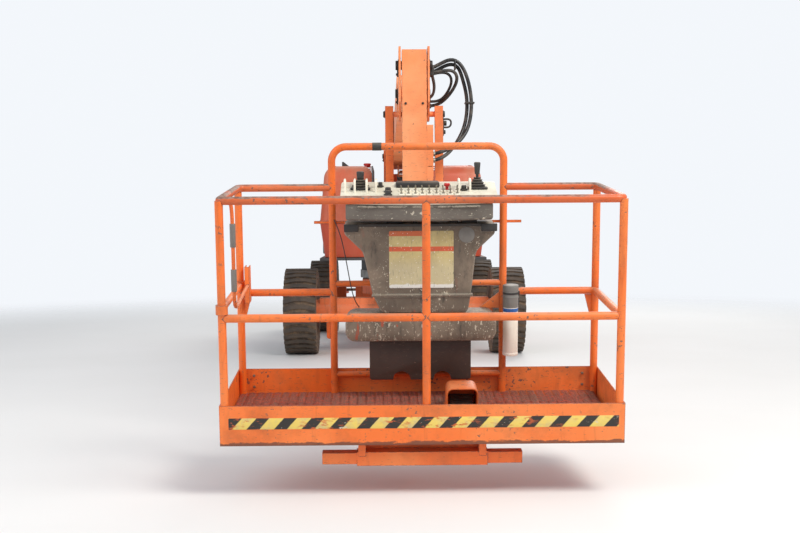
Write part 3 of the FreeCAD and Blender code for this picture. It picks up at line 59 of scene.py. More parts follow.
# Camera, floor and light
cameraFacts = {"place": (-0.155, -9.587, 1.276), "lens": 51.75, "turnRight": 0.6, "down": 2.2, "roll": 0.4}
lightFacts = {
    # name: place, aimed at, size, power, colour
    "keyLamp": ((4.5, -7.5, 7.5), (0, -1.5, 0.8), 4.0, 700, (1.0, 0.97, 0.92)),
    "fillLamp": ((-6.5, -6.5, 4.0), (0, -1.5, 0.8), 6.0, 230, (0.93, 0.96, 1.0)),
    "backLamp": ((3.0, 8.0, 7.0), (0, 2.0, 1.0), 5.0, 420, (1.0, 0.98, 0.95)),
}
worldFacts = {
    # the light that falls on things and the plain backdrop that the camera sees: colour, strength
    "soft": ((0.80, 0.86, 0.95, 1), 0.62),
    "seen": ((0.90, 0.93, 0.97, 1), 1.0),
}


def makeCamera(facts):
    data = bpy.data.cameras.new("photoCamera")
    data.lens = facts["lens"]
    data.sensor_width = 36
    camera = bpy.data.objects.new("photoCamera", data)
    bpy.context.scene.collection.objects.link(camera)
    aim = (
        Matrix.Rotation(math.radians(-facts["turnRight"]), 4, "Z")
        @ Matrix.Rotation(math.radians(90 - facts["down"]), 4, "X")
        @ Matrix.Rotation(math.radians(-facts["roll"]), 4, "Z")
    )
    camera.matrix_world = Matrix.Translation(facts["place"]) @ aim
    bpy.context.scene.camera = camera


def makeLights(facts):
    for name, (place, target, size, power, colour) in facts.items():
        data = bpy.data.lights.new(name, "AREA")
        data.size = size
        data.energy = power
        data.color = colour
        lamp = bpy.data.objects.new(name, data)
        bpy.context.scene.collection.objects.link(lamp)
        lamp.location = place
        lamp.rotation_euler = (Vector(target) - Vector(place)).to_track_quat("-Z", "Y").to_euler()


def makeWorld(facts):
    world = bpy.data.worlds.new("studio")
    bpy.context.scene.world = world
    world.use_nodes = True
    nodes, links = world.node_tree.nodes, world.node_tree.links
    nodes.clear()
    out = nodes.new("ShaderNodeOutputWorld")
    mix = nodes.new("ShaderNodeMixShader")
    path = nodes.new("ShaderNodeLightPath")
    links.new(path.outputs["Is Camera Ray"], mix.inputs["Fac"])
    for socket, (colour, strength) in enumerate(facts.values(), 1):
        shine = nodes.new("ShaderNodeBackground")
        shine.inputs["Color"].default_value = colour
        shine.inputs["Strength"].default_value = strength
        links.new(shine.outputs[0], mix.inputs[socket])
    links.new(mix.outputs[0], out.inputs["Surface"])


bpy.context.scene.view_settings.view_transform = "Standard"
makeCamera(cameraFacts)
makeLights(lightFacts)
makeWorld(worldFacts)
print("camera and lights placed")


# Colours and node groups
def screen(red, green, blue):
    parts = [c / 255 for c in (red, green, blue)]
    return tuple(c / 12.92 if c <= 0.04045 else ((c + 0.055) / 1.055) ** 2.4 for c in parts) + (1.0,)


def newGroup(name, numbers, colours, outputs):
    group = bpy.data.node_groups.new(name, "ShaderNodeTree")
    group.interface.new_socket("Place", in_out="INPUT", socket_type="NodeSocketVector")
    for title, value in numbers.items():
        group.interface.new_socket(title, in_out="INPUT", socket_type="NodeSocketFloat").default_value = value
    for title, value in colours.items():
        group.interface.new_socket(title, in_out="INPUT", socket_type="NodeSocketColor").default_value = value
    for title, kind in outputs.items():
        group.interface.new_socket(title, in_out="OUTPUT", socket_type=kind)
    return group, group.nodes.new("NodeGroupInput"), group.nodes.new("NodeGroupOutput")


def addNoise(tree, place, scale, detail=4, rough=0.55, stretch=None):
    if stretch:
        squeeze = tree.nodes.new("ShaderNodeMapping")
        squeeze.inputs["Scale"].default_value = stretch
        tree.links.new(place, squeeze.inputs["Vector"])
        place = squeeze.outputs["Vector"]
    noise = tree.nodes.new("ShaderNodeTexNoise")
    noise.inputs["Scale"].default_value = scale
    noise.inputs["Detail"].default_value = detail
    noise.inputs["Roughness"].default_value = rough
    tree.links.new(place, noise.inputs["Vector"])
    return noise.outputs["Fac"]


def addRange(tree, value, low, high, toLow=0.0, toHigh=1.0):
    spread = tree.nodes.new("ShaderNodeMapRange")
    spread.interpolation_type = "SMOOTHSTEP"
    for title, number in (("From Min", low), ("From Max", high), ("To Min", toLow), ("To Max", toHigh)):
        if hasattr(number, "links"):
            tree.links.new(number, spread.inputs[title])
        else:
            spread.inputs[title].default_value = number
    tree.links.new(value, spread.inputs["Value"])
    return spread.outputs["Result"]


def addMath(tree, operation, first, second=0.0, limit=False):
    step = tree.nodes.new("ShaderNodeMath")
    step.operation = operation
    step.use_clamp = limit
    for place, number in enumerate((first, second)):
        if hasattr(number, "links"):
            tree.links.new(number, step.inputs[place])
        else:
            step.inputs[place].default_value = number
    return step.outputs[0]


def multiply(tree, first, second, limit=False):
    return addMath(tree, "MULTIPLY", first, second, limit)


def addPatches(tree, place, noise, *limits):
    # noise is its scale, detail, roughness and stretch, limits are those of the range
    return addRange(tree, addNoise(tree, place, *noise), *limits)


def addMix(tree, factor, first, second):
    mix = tree.nodes.new("ShaderNodeMix")
    mix.data_type = "RGBA"
    for place, value in ((0, factor), (6, first), (7, second)):
        if hasattr(value, "links"):
            tree.links.new(value, mix.inputs[place])
        else:
            mix.inputs[place].default_value = value
    return mix.outputs[2]


def splitAxes(tree, value):
    split = tree.nodes.new("ShaderNodeSeparateXYZ")
    tree.links.new(value, split.inputs[0])
    return split.outputs


def makeEdgeGroup():
    # where a sharp edge is, for chipped paint and polished corners
    group, start, end = newGroup(
        "edgeWear", {"Radius": 0.006, "Break": 40.0, "Amount": 0.5}, {}, {"Mask": "NodeSocketFloat"}
    )
    bevel = group.nodes.new("ShaderNodeBevel")
    bevel.samples = 4
    group.links.new(start.outputs["Radius"], bevel.inputs["Radius"])
    geometry = group.nodes.new("ShaderNodeNewGeometry")
    dot = group.nodes.new("ShaderNodeVectorMath")
    dot.operation = "DOT_PRODUCT"
    group.links.new(bevel.outputs[0], dot.inputs[0])
    group.links.new(geometry.outputs["Normal"], dot.inputs[1])
    edge = addRange(group, dot.outputs["Value"], 0.995, 0.85)
    noise = group.nodes.new("ShaderNodeTexNoise")
    noise.inputs["Detail"].default_value = 5
    group.links.new(start.outputs["Place"], noise.inputs["Vector"])
    group.links.new(start.outputs["Break"], noise.inputs["Scale"])
    floorValue = addMath(group, "SUBTRACT", 0.8, multiply(group, start.outputs["Amount"], 0.5))
    broken = addRange(group, noise.outputs["Fac"], floorValue, addMath(group, "ADD", floorValue, 0.08))
    group.links.new(multiply(group, edge, broken, True), end.inputs["Mask"])


def makePaintGroup():
    # sun-bleached coat with grime streaks, small chips and fine scratches
    group, start, end = newGroup(
        "agedCoat",
        {"Fade": 0.5, "Grime": 0.4, "Chips": 0.4, "Shine": 0.4},
        {
            "Coat": (0.8, 0.2, 0.05, 1), "Bleached": (0.9, 0.4, 0.2, 1), "Dirt": (0.1, 0.08, 0.06, 1),
            "Bare": (0.2, 0.12, 0.08, 1),
        },
        {"Colour": "NodeSocketColor", "Roughness": "NodeSocketFloat", "Height": "NodeSocketFloat"},
    )
    place = start.outputs["Place"]
    fade = addPatches(group, place, (1.3, 6, 0.6), 0.38, 0.66)
    fade = multiply(group, fade, start.outputs["Fade"], True)
    colour = addMix(group, fade, start.outputs["Coat"], start.outputs["Bleached"])
    streak = addPatches(group, place, (9, 5, 0.6, (3.0, 3.0, 0.35)), 0.52, 0.74)
    cloud = addPatches(group, place, (3.1, 7, 0.66), 0.46, 0.72)
    grime = addMath(group, "MAXIMUM", multiply(group, streak, 0.75), cloud)
    grime = multiply(group, grime, start.outputs["Grime"], True)
    colour = addMix(group, grime, colour, start.outputs["Dirt"])
    spots = addNoise(group, place, 55, 3, 0.5)
    gate = addPatches(group, place, (5.0, 3, 0.6), 0.50, 0.62)
    edges = addMath(group, "SUBTRACT", 0.76, multiply(group, start.outputs["Chips"], 0.14))
    chips = multiply(group, addRange(group, spots, edges, addMath(group, "ADD", edges, 0.02)), gate)
    hair = addNoise(group, place, 34, 2, 0.4, (1.0, 1.0, 14.0))
    scratch = multiply(group, addRange(group, hair, 0.69, 0.72), start.outputs["Chips"])
    edge = group.nodes.new("ShaderNodeGroup")
    edge.node_tree = bpy.data.node_groups["edgeWear"]
    group.links.new(place, edge.inputs["Place"])
    group.links.new(start.outputs["Chips"], edge.inputs["Amount"])
    chips = addMath(group, "MAXIMUM", addMath(group, "MAXIMUM", chips, scratch), edge.outputs["Mask"], True)
    colour = addMix(group, chips, colour, start.outputs["Bare"])
    rough = addMath(group, "ADD", start.outputs["Shine"], multiply(group, grime, 0.3))
    rough = addMath(group, "ADD", rough, multiply(group, fade, 0.12), True)
    group.links.new(colour, end.inputs["Colour"])
    group.links.new(rough, end.inputs["Roughness"])
    group.links.new(multiply(group, chips, -1.0), end.inputs["Height"])


def makeDustGroup():
    # pale dust that settles on faces that look upwards
    group, start, end = newGroup(
        "settledDust", {"Amount": 0.4}, {"Under": (0.5, 0.5, 0.5, 1), "Dust": (0.36, 0.30, 0.23, 1)},
        {"Colour": "NodeSocketColor"}
    )
    geometry = group.nodes.new("ShaderNodeNewGeometry")
    upward = addRange(group, splitAxes(group, geometry.outputs["Normal"])["Z"], 0.1, 0.95)
    cloud = addRange(group, addNoise(group, start.outputs["Place"], 6, 6, 0.65), 0.3, 0.7)
    mask = multiply(group, multiply(group, upward, cloud), start.outputs["Amount"], True)
    group.links.new(addMix(group, mask, start.outputs["Under"], start.outputs["Dust"]), end.inputs["Colour"])


def makeGrainGroup():
    # fine pebbled grain of moulded plastic and rubber
    group, start, end = newGroup("mouldGrain", {"Size": 400.0}, {}, {"Height": "NodeSocketFloat"})
    cells = group.nodes.new("ShaderNodeTexVoronoi")
    group.links.new(start.outputs["Place"], cells.inputs["Vector"])
    group.links.new(start.outputs["Size"], cells.inputs["Scale"])
    group.links.new(cells.outputs["Distance"], end.inputs["Height"])


makeEdgeGroup()
makePaintGroup()
makeDustGroup()
makeGrainGroup()


# Materials
def newMaterial(name, centre=(0, 0, 0), onPlatform=False):
    material = bpy.data.materials.new(name)
    material.use_nodes = True
    tree = material.node_tree
    shader = tree.nodes["Principled BSDF"]
    where = tree.nodes.new("ShaderNodeTexCoord")
    shift = tree.nodes.new("ShaderNodeMapping")
    shift.vector_type = "TEXTURE"
    if onPlatform:
        centre = platformFacts["axis"]
        shift.inputs["Rotation"].default_value = (math.radians(platformFacts["tilt"]), 0, 0)
    shift.inputs["Location"].default_value = centre
    tree.links.new(where.outputs["Object"], shift.inputs["Vector"])
    return material, tree, shader, shift.outputs["Vector"]


def useGroup(tree, name, place, values):
    node = tree.nodes.new("ShaderNodeGroup")
    node.node_tree = bpy.data.node_groups[name]
    tree.links.new(place, node.inputs["Place"])
    for title, value in values.items():
        if hasattr(value, "links"):
            tree.links.new(value, node.inputs[title])
        else:
            node.inputs[title].default_value = value
    return node


def addBump(tree, shader, height, strength, depth):
    bump = tree.nodes.new("ShaderNodeBump")
    bump.inputs["Strength"].default_value = strength
    bump.inputs["Distance"].default_value = depth
    tree.links.new(height, bump.inputs["Height"])
    tree.links.new(bump.outputs["Normal"], shader.inputs["Normal"])


coatFacts = {
    # name: coat, bleached, dirt, bare, fade, grime, chips, shine, dust
    "orangePaint": (
        (232, 103, 34), (244, 142, 78), (112, 62, 40), (96, 70, 60), 0.75, 0.34, 0.75, 0.42, 0.30
    ),
    # a lighter copy of the orange paint: painted sunlight for the jib, its bracket, the right level link, the
    # boom and the yoke
    "paintedSunlitOrange": ((247, 142, 84), (252, 178, 126), (132, 74, 46), (112, 84, 68), 0.8, 0.26, 0.6, 0.42, 0.25),
    "railPaint": ((240, 110, 34), (246, 140, 74), (120, 66, 42), (112, 86, 74), 0.6, 0.45, 1.0, 0.40, 0.45),
    "hoodOrange": (
        (206, 84, 46), (220, 136, 104), (150, 88, 62), (170, 110, 84), 0.9, 0.30, 0.25, 0.38, 0.40
    ),
    "skirtOrange": ((196, 70, 38), (208, 104, 74), (132, 76, 54), (160, 104, 80), 0.8, 0.4, 0.3, 0.42, 0.35),
    "greyPaint": ((92, 94, 95), (120, 121, 120), (66, 56, 46), (80, 66, 56), 0.6, 0.5, 0.5, 0.46, 0.35),
    "castGrey": ((74, 76, 78), (98, 99, 98), (62, 54, 46), (88, 72, 60), 0.6, 0.5, 0.35, 0.6, 0.4),
    "frameGrey": ((66, 68, 70), (88, 88, 86), (74, 62, 50), (92, 72, 58), 0.6, 0.6, 0.5, 0.52, 0.5),
    "axlePaint": ((222, 98, 42), (232, 130, 80), (112, 80, 56), (96, 74, 60), 0.7, 0.7, 0.6, 0.5, 0.6),
    "rimPaint": ((196, 190, 178), (212, 208, 198), (92, 78, 62), (110, 86, 66), 0.6, 0.7, 0.5, 0.48, 0.3),
    "consoleGrey": (
        (112, 104, 92), (132, 122, 108), (66, 60, 52), (186, 178, 158), 0.7, 0.5, 0.55, 0.55, 0.35
    ),
    "panelCream": (
        (222, 216, 194), (232, 228, 212), (130, 116, 94), (96, 88, 76), 0.5, 0.35, 0.35, 0.45, 0.2
    ),
    "floorBrown": ((186, 84, 62), (200, 110, 86), (92, 56, 46), (120, 92, 80), 0.8, 0.55, 0.8, 0.6, 0.4),
    "blackPlastic": ((44, 43, 42), (62, 60, 57), (86, 76, 64), (110, 104, 96), 0.7, 0.35, 0.2, 0.5, 0.35),
    "trayGrey": ((104, 97, 88), (126, 118, 106), (70, 62, 54), (196, 188, 168), 0.7, 0.45, 0.8, 0.52, 0.4),
    "greyPlastic": ((120, 118, 112), (140, 137, 130), (84, 74, 62), (90, 84, 76), 0.6, 0.4, 0.25, 0.5, 0.3),
    "whitePlastic": (
        (246, 238, 218), (250, 244, 230), (170, 154, 130), (190, 180, 162), 0.5, 0.22, 0.2, 0.42, 0.2
    ),
    "brownBox": ((56, 40, 32), (74, 56, 46), (50, 42, 38), (128, 100, 84), 0.7, 0.5, 0.5, 0.5, 0.4),
}
metalFacts = {
    # name: colour, grime colour, roughness, grime
    "steelPlain": ((150, 148, 144), (84, 66, 52), 0.42, 0.5),
    "chromeRod": ((206, 208, 210), (120, 112, 100), 0.12, 0.15),
    "boltZinc": ((158, 152, 138), (92, 70, 52), 0.38, 0.45),
    "darkSteel": ((70, 68, 66), (58, 46, 38), 0.45, 0.5),
}


def makeCoats(facts):
    made = {}
    for name, (coat, bleached, dirt, bare, fade, grime, chips, shine, dust) in facts.items():
        material, tree, shader, place = newMaterial(name)
        aged = useGroup(tree, "agedCoat", place, {
            "Fade": fade, "Grime": grime, "Chips": chips, "Shine": shine,
            "Coat": screen(*coat), "Bleached": screen(*bleached), "Dirt": screen(*dirt),
            "Bare": screen(*bare),
        })
        dusted = useGroup(tree, "settledDust", place, {
            "Amount": dust, "Under": aged.outputs["Colour"], "Dust": screen(168, 150, 126),
        })
        tree.links.new(dusted.outputs["Colour"], shader.inputs["Base Color"])
        tree.links.new(aged.outputs["Roughness"], shader.inputs["Roughness"])
        if "Plastic" in name:
            grain = useGroup(tree, "mouldGrain", place, {"Size": 500.0})
            addBump(tree, shader, grain.outputs["Height"], 0.15, 0.0008)
        else:
            addBump(tree, shader, aged.outputs["Height"], 0.5, 0.0006)
        made[name] = material
    return made


def makeMetals(facts):
    made = {}
    for name, (colour, grimeColour, roughness, grime) in facts.items():
        material, tree, shader, place = newMaterial(name)
        cloud = addPatches(tree, place, (7, 6, 0.65), 0.45, 0.7)
        mask = multiply(tree, cloud, grime, True)
        tree.links.new(addMix(tree, mask, screen(*colour), screen(*grimeColour)), shader.inputs["Base Color"])
        fine = addNoise(tree, place, 90, 3, 0.5, (1, 12, 1))
        rough = addMath(tree, "ADD", multiply(tree, mask, 0.35), roughness)
        tree.links.new(
            addMath(tree, "ADD", rough, multiply(tree, fine, 0.08), True), shader.inputs["Roughness"]
        )
        tree.links.new(addMath(tree, "SUBTRACT", 1.0, mask, True), shader.inputs["Metallic"])
        made[name] = material
    return made


def makeTyreMaterial(name, centre):
    # brown dust between the lugs and on the walls, darker worn lug tops, moulded rings on the walls
    material, tree, shader, place = newMaterial(name, centre)
    axes = splitAxes(tree, place)
    squares = [multiply(tree, axes[axis], axes[axis]) for axis in "YZ"]
    radius = addMath(tree, "SQRT", addMath(tree, "ADD", *squares))
    cloud = addNoise(tree, place, 9, 6, 0.65)
    fine = addNoise(tree, place, 70, 4, 0.6)
    top = addRange(tree, radius, 0.402, 0.412)
    dust = addRange(tree, cloud, 0.36, 0.66, 0.25, 0.95)
    dust = multiply(tree, dust, addMath(tree, "SUBTRACT", 1.0, multiply(tree, top, 0.65)))
    dust = multiply(tree, dust, addRange(tree, fine, 0.25, 0.7, 0.55, 1.0), True)
    colour = addMix(tree, dust, screen(50, 46, 43), screen(140, 114, 88))
    tree.links.new(colour, shader.inputs["Base Color"])
    tree.links.new(addMath(tree, "ADD", multiply(tree, dust, 0.2), 0.68, True), shader.inputs["Roughness"])
    rings = addMath(tree, "SINE", multiply(tree, radius, 260))
    wall = multiply(tree, addRange(tree, radius, 0.235, 0.245), addRange(tree, radius, 0.37, 0.36))
    height = addMath(tree, "ADD", multiply(tree, rings, multiply(tree, wall, 0.4)), multiply(tree, fine, 0.5))
    addBump(tree, shader, height, 0.5, 0.003)
    return material


def makeScuffed(name, coat, bleached, scuff, scuffWorn, upward, bottom):
    # rail paint rubbed through on the faces that look up, and rusted along the lower edge
    material, tree, shader, place = newMaterial(name, onPlatform=True)
    aged = useGroup(tree, "agedCoat", place, {
        "Fade": 0.6, "Grime": 0.4, "Chips": 1.0, "Shine": 0.4,
        "Coat": screen(*coat), "Bleached": screen(*bleached), "Dirt": screen(120, 66, 42),
        "Bare": screen(112, 86, 74),
    })
    geometry = tree.nodes.new("ShaderNodeNewGeometry")
    facing = splitAxes(tree, geometry.outputs["Normal"])["Z"]
    height = splitAxes(tree, place)["Z"]
    ragged = addNoise(tree, place, 24, 6, 0.7, (0.5, 1.0, 1.0))
    top = addMath(tree, "ADD", facing, multiply(tree, ragged, 0.9))
    top = addRange(tree, top, upward, upward + 0.12)
    patches = addPatches(tree, place, (3.2, 4, 0.6), 0.34, 0.52)
    top = multiply(tree, top, patches)
    low = addMath(tree, "SUBTRACT", multiply(tree, ragged, 0.054), addMath(tree, "SUBTRACT", height, bottom))
    low = addRange(tree, low, 0.010, 0.016)
    worn = addMix(tree, addPatches(tree, place, (40, 4, 0.6), 0.4, 0.65), screen(*scuff), screen(*scuffWorn))
    colour = addMix(tree, top, aged.outputs["Colour"], worn)
    colour = addMix(tree, multiply(tree, low, 0.85), colour, screen(92, 60, 46))
    tree.links.new(colour, shader.inputs["Base Color"])
    tree.links.new(
        addMath(tree, "ADD", aged.outputs["Roughness"], multiply(tree, top, 0.2), True),
        shader.inputs["Roughness"],
    )
    addBump(tree, shader, aged.outputs["Height"], 0.5, 0.0006)
    return material


materials = makeCoats(coatFacts)
materials["scuffedRail"] = makeScuffed(
    "scuffedRail", (214, 96, 42), (224, 124, 76), (150, 122, 108), (118, 84, 68), 0.86, -1.0
)
materials["scuffedToe"] = makeScuffed(
    "scuffedToe", (245, 118, 44), (250, 150, 84), (214, 120, 74), (150, 84, 56), 1.30, -0.034
)
materials.update(makeMetals(metalFacts))
print(len(materials), "coats and metals made")

nodeFinish = {
    # slot in the record: finish used for its CAD nodes
    "orange_paint": "orangePaint", "hood_orange": "hoodOrange", "grey_paint": "greyPaint",
    "cast_grey": "castGrey",
    "frame_grey": "frameGrey", "steel": "steelPlain", "chrome": "chromeRod", "rim": "rimPaint",
    "console_grey": "consoleGrey", "panel_cream": "panelCream", "floor_brown": "floorBrown",
    "black_plastic": "blackPlastic", "grey_plastic": "greyPlastic", "white_plastic": "whitePlastic",
}
railNodes = ("rail_mid", "rail_posts", "console_guard", "entry_bar")
axleNodes = ("chassis_frame", "drive_axle", "steer_axle", "knuckle_left", "knuckle_right")
# these nodes wear the lighter orange, which is painted sunlight on their faces
paintedSunlitNodes = ("jib_boom", "jib_bracket", "level_link_right", "boom_fly", "boom_base", "nose_yoke")
wheels = {
    # name: centre of the wheel
    "drive_left": (-0.9965, 1.6527, 0.416), "drive_right": (0.9965, 1.6527, 0.416),
    "steer_left": (-0.9015, 3.9927, 0.416), "steer_right": (0.9015, 3.9927, 0.416),
}


def wear(piece, material):
    piece.data.materials.clear()
    piece.data.materials.append(material)


for row in frame["record"]["subparts"]:
    node = frame["nodes"][row["node"]]
    if row["node"].startswith("tyre_"):
        wheel = row["node"][5:]
        wear(node, makeTyreMaterial("tyreRubber_" + wheel, wheels[wheel]))
    elif row["node"] in railNodes:
        wear(node, materials["railPaint"])
    elif row["node"] in paintedSunlitNodes:
        wear(node, materials["paintedSunlitOrange"])
    elif row["node"] in axleNodes:
        wear(node, materials["axlePaint"])
    elif row["node"] in ("rail_top", "toe_boards"):
        wear(node, materials["scuffedRail" if row["node"] == "rail_top" else "scuffedToe"])
    else:
        wear(node, materials[nodeFinish[row["material_slot"]]])
print("nodes dressed")


# Ways of working
def clearSelection():
    if bpy.context.object and bpy.context.object.mode != "OBJECT":
        bpy.ops.object.mode_set(mode="OBJECT")
    bpy.ops.object.select_all(action="DESELECT")


def choose(*pieces):
    clearSelection()
    for piece in pieces:
        piece.select_set(True)
    bpy.context.view_layer.objects.active = pieces[-1]


def applyPlace(piece):
    choose(piece)
    bpy.ops.object.transform_apply(location=True, rotation=True, scale=True)


def bevelEdges(piece, width, segments=2, angle=30):
    choose(piece)
    bevel = piece.modifiers.new("edges", "BEVEL")
    bevel.width = width
    bevel.segments = segments
    bevel.limit_method = "ANGLE"
    bevel.angle_limit = math.radians(angle)
    bpy.ops.object.modifier_apply(modifier=bevel.name)
    return piece


def softBox(name, low, high, width=0.003, segments=2):
    clearSelection()
    middle = [(a + b) / 2 for a, b in zip(low, high)]
    bpy.ops.mesh.primitive_cube_add(size=1, location=middle)
    piece = bpy.context.object
    piece.name = name
    piece.scale = [b - a for a, b in zip(low, high)]
    applyPlace(piece)
    return bevelEdges(piece, width, segments) if width else piece


def softRod(name, start, end, radius, width=0.002, sides=24, tip=None):
    clearSelection()
    start, end = Vector(start), Vector(end)
    run = end - start
    bpy.ops.mesh.primitive_cone_add(
        vertices=sides, radius1=radius, radius2=radius if tip is None else tip, depth=run.length,
        location=(start + end) / 2
    )
    piece = bpy.context.object
    piece.name = name
    piece.rotation_euler = run.to_track_quat("Z", "Y").to_euler()
    applyPlace(piece)
    return bevelEdges(piece, width, 2, 40) if width else piece


def mergeAndTurn(threshold=None):
    # of the chosen piece: points that coincide become one, and the faces look outwards
    bpy.ops.object.mode_set(mode="EDIT")
    bpy.ops.mesh.select_all(action="SELECT")
    if threshold:
        bpy.ops.mesh.remove_doubles(threshold=threshold)
    bpy.ops.mesh.normals_make_consistent(inside=False)
    bpy.ops.object.mode_set(mode="OBJECT")


def cutPlate(name, outline, across, low, high, edge=0.002, holes=()):
    # a flat outline given thickness, lying across X, Y or Z
    flat = bpy.data.curves.new(name, "CURVE")
    flat.dimensions = "2D"
    flat.fill_mode = "BOTH"
    for ring in (outline, *holes):
        spline = flat.splines.new("POLY")
        spline.points.add(len(ring) - 1)
        for point, (u, v) in zip(spline.points, ring):
            point.co = (u, v, 0, 1)
        spline.use_cyclic_u = True
    flat.extrude = (high - low) / 2 - edge
    flat.bevel_depth = edge
    flat.bevel_resolution = 1
    flat.offset = -edge
    piece = bpy.data.objects.new(name, flat)
    bpy.context.scene.collection.objects.link(piece)
    choose(piece)
    bpy.ops.object.convert(target="MESH")
    piece = bpy.context.object
    middle = (low + high) / 2
    turns = {
        "X": Matrix(((0, 0, 1, middle), (1, 0, 0, 0), (0, 1, 0, 0), (0, 0, 0, 1))),
        "Y": Matrix(((1, 0, 0, 0), (0, 0, -1, middle), (0, 1, 0, 0), (0, 0, 0, 1))),
        "Z": Matrix(((1, 0, 0, 0), (0, 1, 0, 0), (0, 0, 1, middle), (0, 0, 0, 1))),
    }
    piece.matrix_world = turns[across]
    applyPlace(piece)
    mergeAndTurn(0.0001)
    return piece


def bentTube(name, points, radius, sides=4):
    line = bpy.data.curves.new(name, "CURVE")
    line.dimensions = "3D"
    spline = line.splines.new("NURBS")
    spline.points.add(len(points) - 1)
    for point, place in zip(spline.points, points):
        point.co = (*place, 1)
    spline.order_u = 4
    spline.use_endpoint_u = True
    spline.resolution_u = 8
    line.bevel_depth = radius
    line.bevel_resolution = sides
    line.use_fill_caps = True
    piece = bpy.data.objects.new(name, line)
    bpy.context.scene.collection.objects.link(piece)
    choose(piece)
    bpy.ops.object.convert(target="MESH")
    mergeAndTurn(0.00005)
    return bpy.context.object


def joinAll(name, pieces):
    choose(*pieces)
    if len(pieces) > 1:
        bpy.ops.object.join()
    piece = bpy.context.object
    piece.name = name
    return piece


def finishPiece(piece, body, finish, replaces=(), angle=35):
    choose(piece)
    bpy.ops.object.shade_smooth_by_angle(angle=math.radians(angle))
    if finish:
        wear(piece, materials[finish])
    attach(piece, body)
    if replaces:
        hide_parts(*replaces)


def finishOnPlatform(piece, finish, replaces=()):
    # the piece was made level, from the swing axis
    piece.matrix_world = platformPlace
    applyPlace(piece)
    finishPiece(piece, "platform", finish, replaces)


# Floor
studioFacts = {
    "size": 60, "drop": -0.001, "colours": ((226, 224, 220), (234, 232, 229)), "roughness": 0.85,
    "clearFrom": 6.0, "clearAt": 11.5,
}


def makeFloor(facts):
    clearSelection()
    bpy.ops.mesh.primitive_plane_add(size=facts["size"], location=(0, 0, facts["drop"]))
    floor = bpy.context.object
    floor.name = "studioFloor"
    material, tree, shader, place = newMaterial("paleFloor")
    dark, pale = [screen(*colour) for colour in facts["colours"]]
    cloud = addNoise(tree, place, 0.8, 4, 0.5)
    tree.links.new(addMix(tree, cloud, dark, pale), shader.inputs["Base Color"])
    shader.inputs["Roughness"].default_value = facts["roughness"]
    # the floor thins out far from the machine, so no edge shows
    away = tree.nodes.new("ShaderNodeVectorMath")
    away.operation = "LENGTH"
    tree.links.new(place, away.inputs[0])
    clear = addRange(tree, away.outputs["Value"], facts["clearFrom"], facts["clearAt"], 1.0, 0.0)
    tree.links.new(clear, shader.inputs["Alpha"])
    wear(floor, material)


makeFloor(studioFacts)


# Platform floor with its open mesh
floorFacts = {
    "half": 0.932, "front": -0.994, "back": -0.283, "lift": 0.030,
    "cellLong": 0.044, "cellWide": 0.022, "strand": 0.0028, "thick": 0.003,
    "bars": (-0.90, -0.60, -0.30, 0.0, 0.30, 0.60, 0.90), "barHalf": 0.004, "barFoot": 0.0005,
    "crossBars": ((-0.500, -0.492), (-0.760, -0.752)), "crossEnds": (-0.925, 0.915),
}


def makeFloorMesh(facts):
    # one lozenge of the flattened mesh, repeated over bars that stand on the floor plate
    clearSelection()
    bpy.ops.mesh.primitive_circle_add(vertices=4, radius=0.5, fill_type="NGON", location=(0, 0, 0))
    cell = bpy.context.object
    cell.scale = (facts["cellLong"], facts["cellWide"], 1)
    applyPlace(cell)
    bpy.ops.object.mode_set(mode="EDIT")
    bpy.ops.mesh.select_all(action="SELECT")
    bpy.ops.mesh.inset(thickness=facts["strand"], depth=0)
    bpy.ops.mesh.delete(type="ONLY_FACE")
    bpy.ops.mesh.select_all(action="SELECT")
    bpy.ops.object.mode_set(mode="OBJECT")
    across = int(2 * facts["half"] / facts["cellLong"])
    deep = int((facts["back"] - facts["front"]) / facts["cellWide"])
    for title, count, offset in (
        ("across", across, (facts["cellLong"], 0, 0)), ("deep", deep, (0, facts["cellWide"], 0))
    ):
        row = cell.modifiers.new(title, "ARRAY")
        row.count = count
        row.use_relative_offset = False
        row.use_constant_offset = True
        row.constant_offset_displace = offset
        bpy.ops.object.modifier_apply(modifier=row.name)
    wall = cell.modifiers.new("thick", "SOLIDIFY")
    wall.thickness = facts["thick"]
    wall.offset = 1
    bpy.ops.object.modifier_apply(modifier=wall.name)
    cell.location = (
        -facts["half"] + facts["cellLong"] / 2, facts["front"] + facts["cellWide"] / 2, facts["lift"]
    )
    applyPlace(cell)
    half, foot, top = facts["barHalf"], facts["barFoot"], facts["lift"] + facts["barFoot"]
    front, back = facts["front"] + 0.004, facts["back"] - 0.010
    left, right = facts["crossEnds"]
    bars = [
        softBox("floorBar", (x - half, front, foot), (x + half, back, top), 0.001, 1)
        for x in facts["bars"]
    ]
    for near, far in facts["crossBars"]:
        bars.append(softBox("floorBar", (left, near, foot), (right, far, top), 0.001, 1))
    finishOnPlatform(joinAll("floorMesh", [cell] + bars), "floorBrown")


makeFloorMesh(floorFacts)
print("floor mesh laid")

# Hazard band on the front toe board
bandFacts = {
    "left": -0.898, "right": 0.912, "low": 0.046, "high": 0.099, "face": -1.0023,
    "pitch": 0.1275, "lean": 0.9,
}


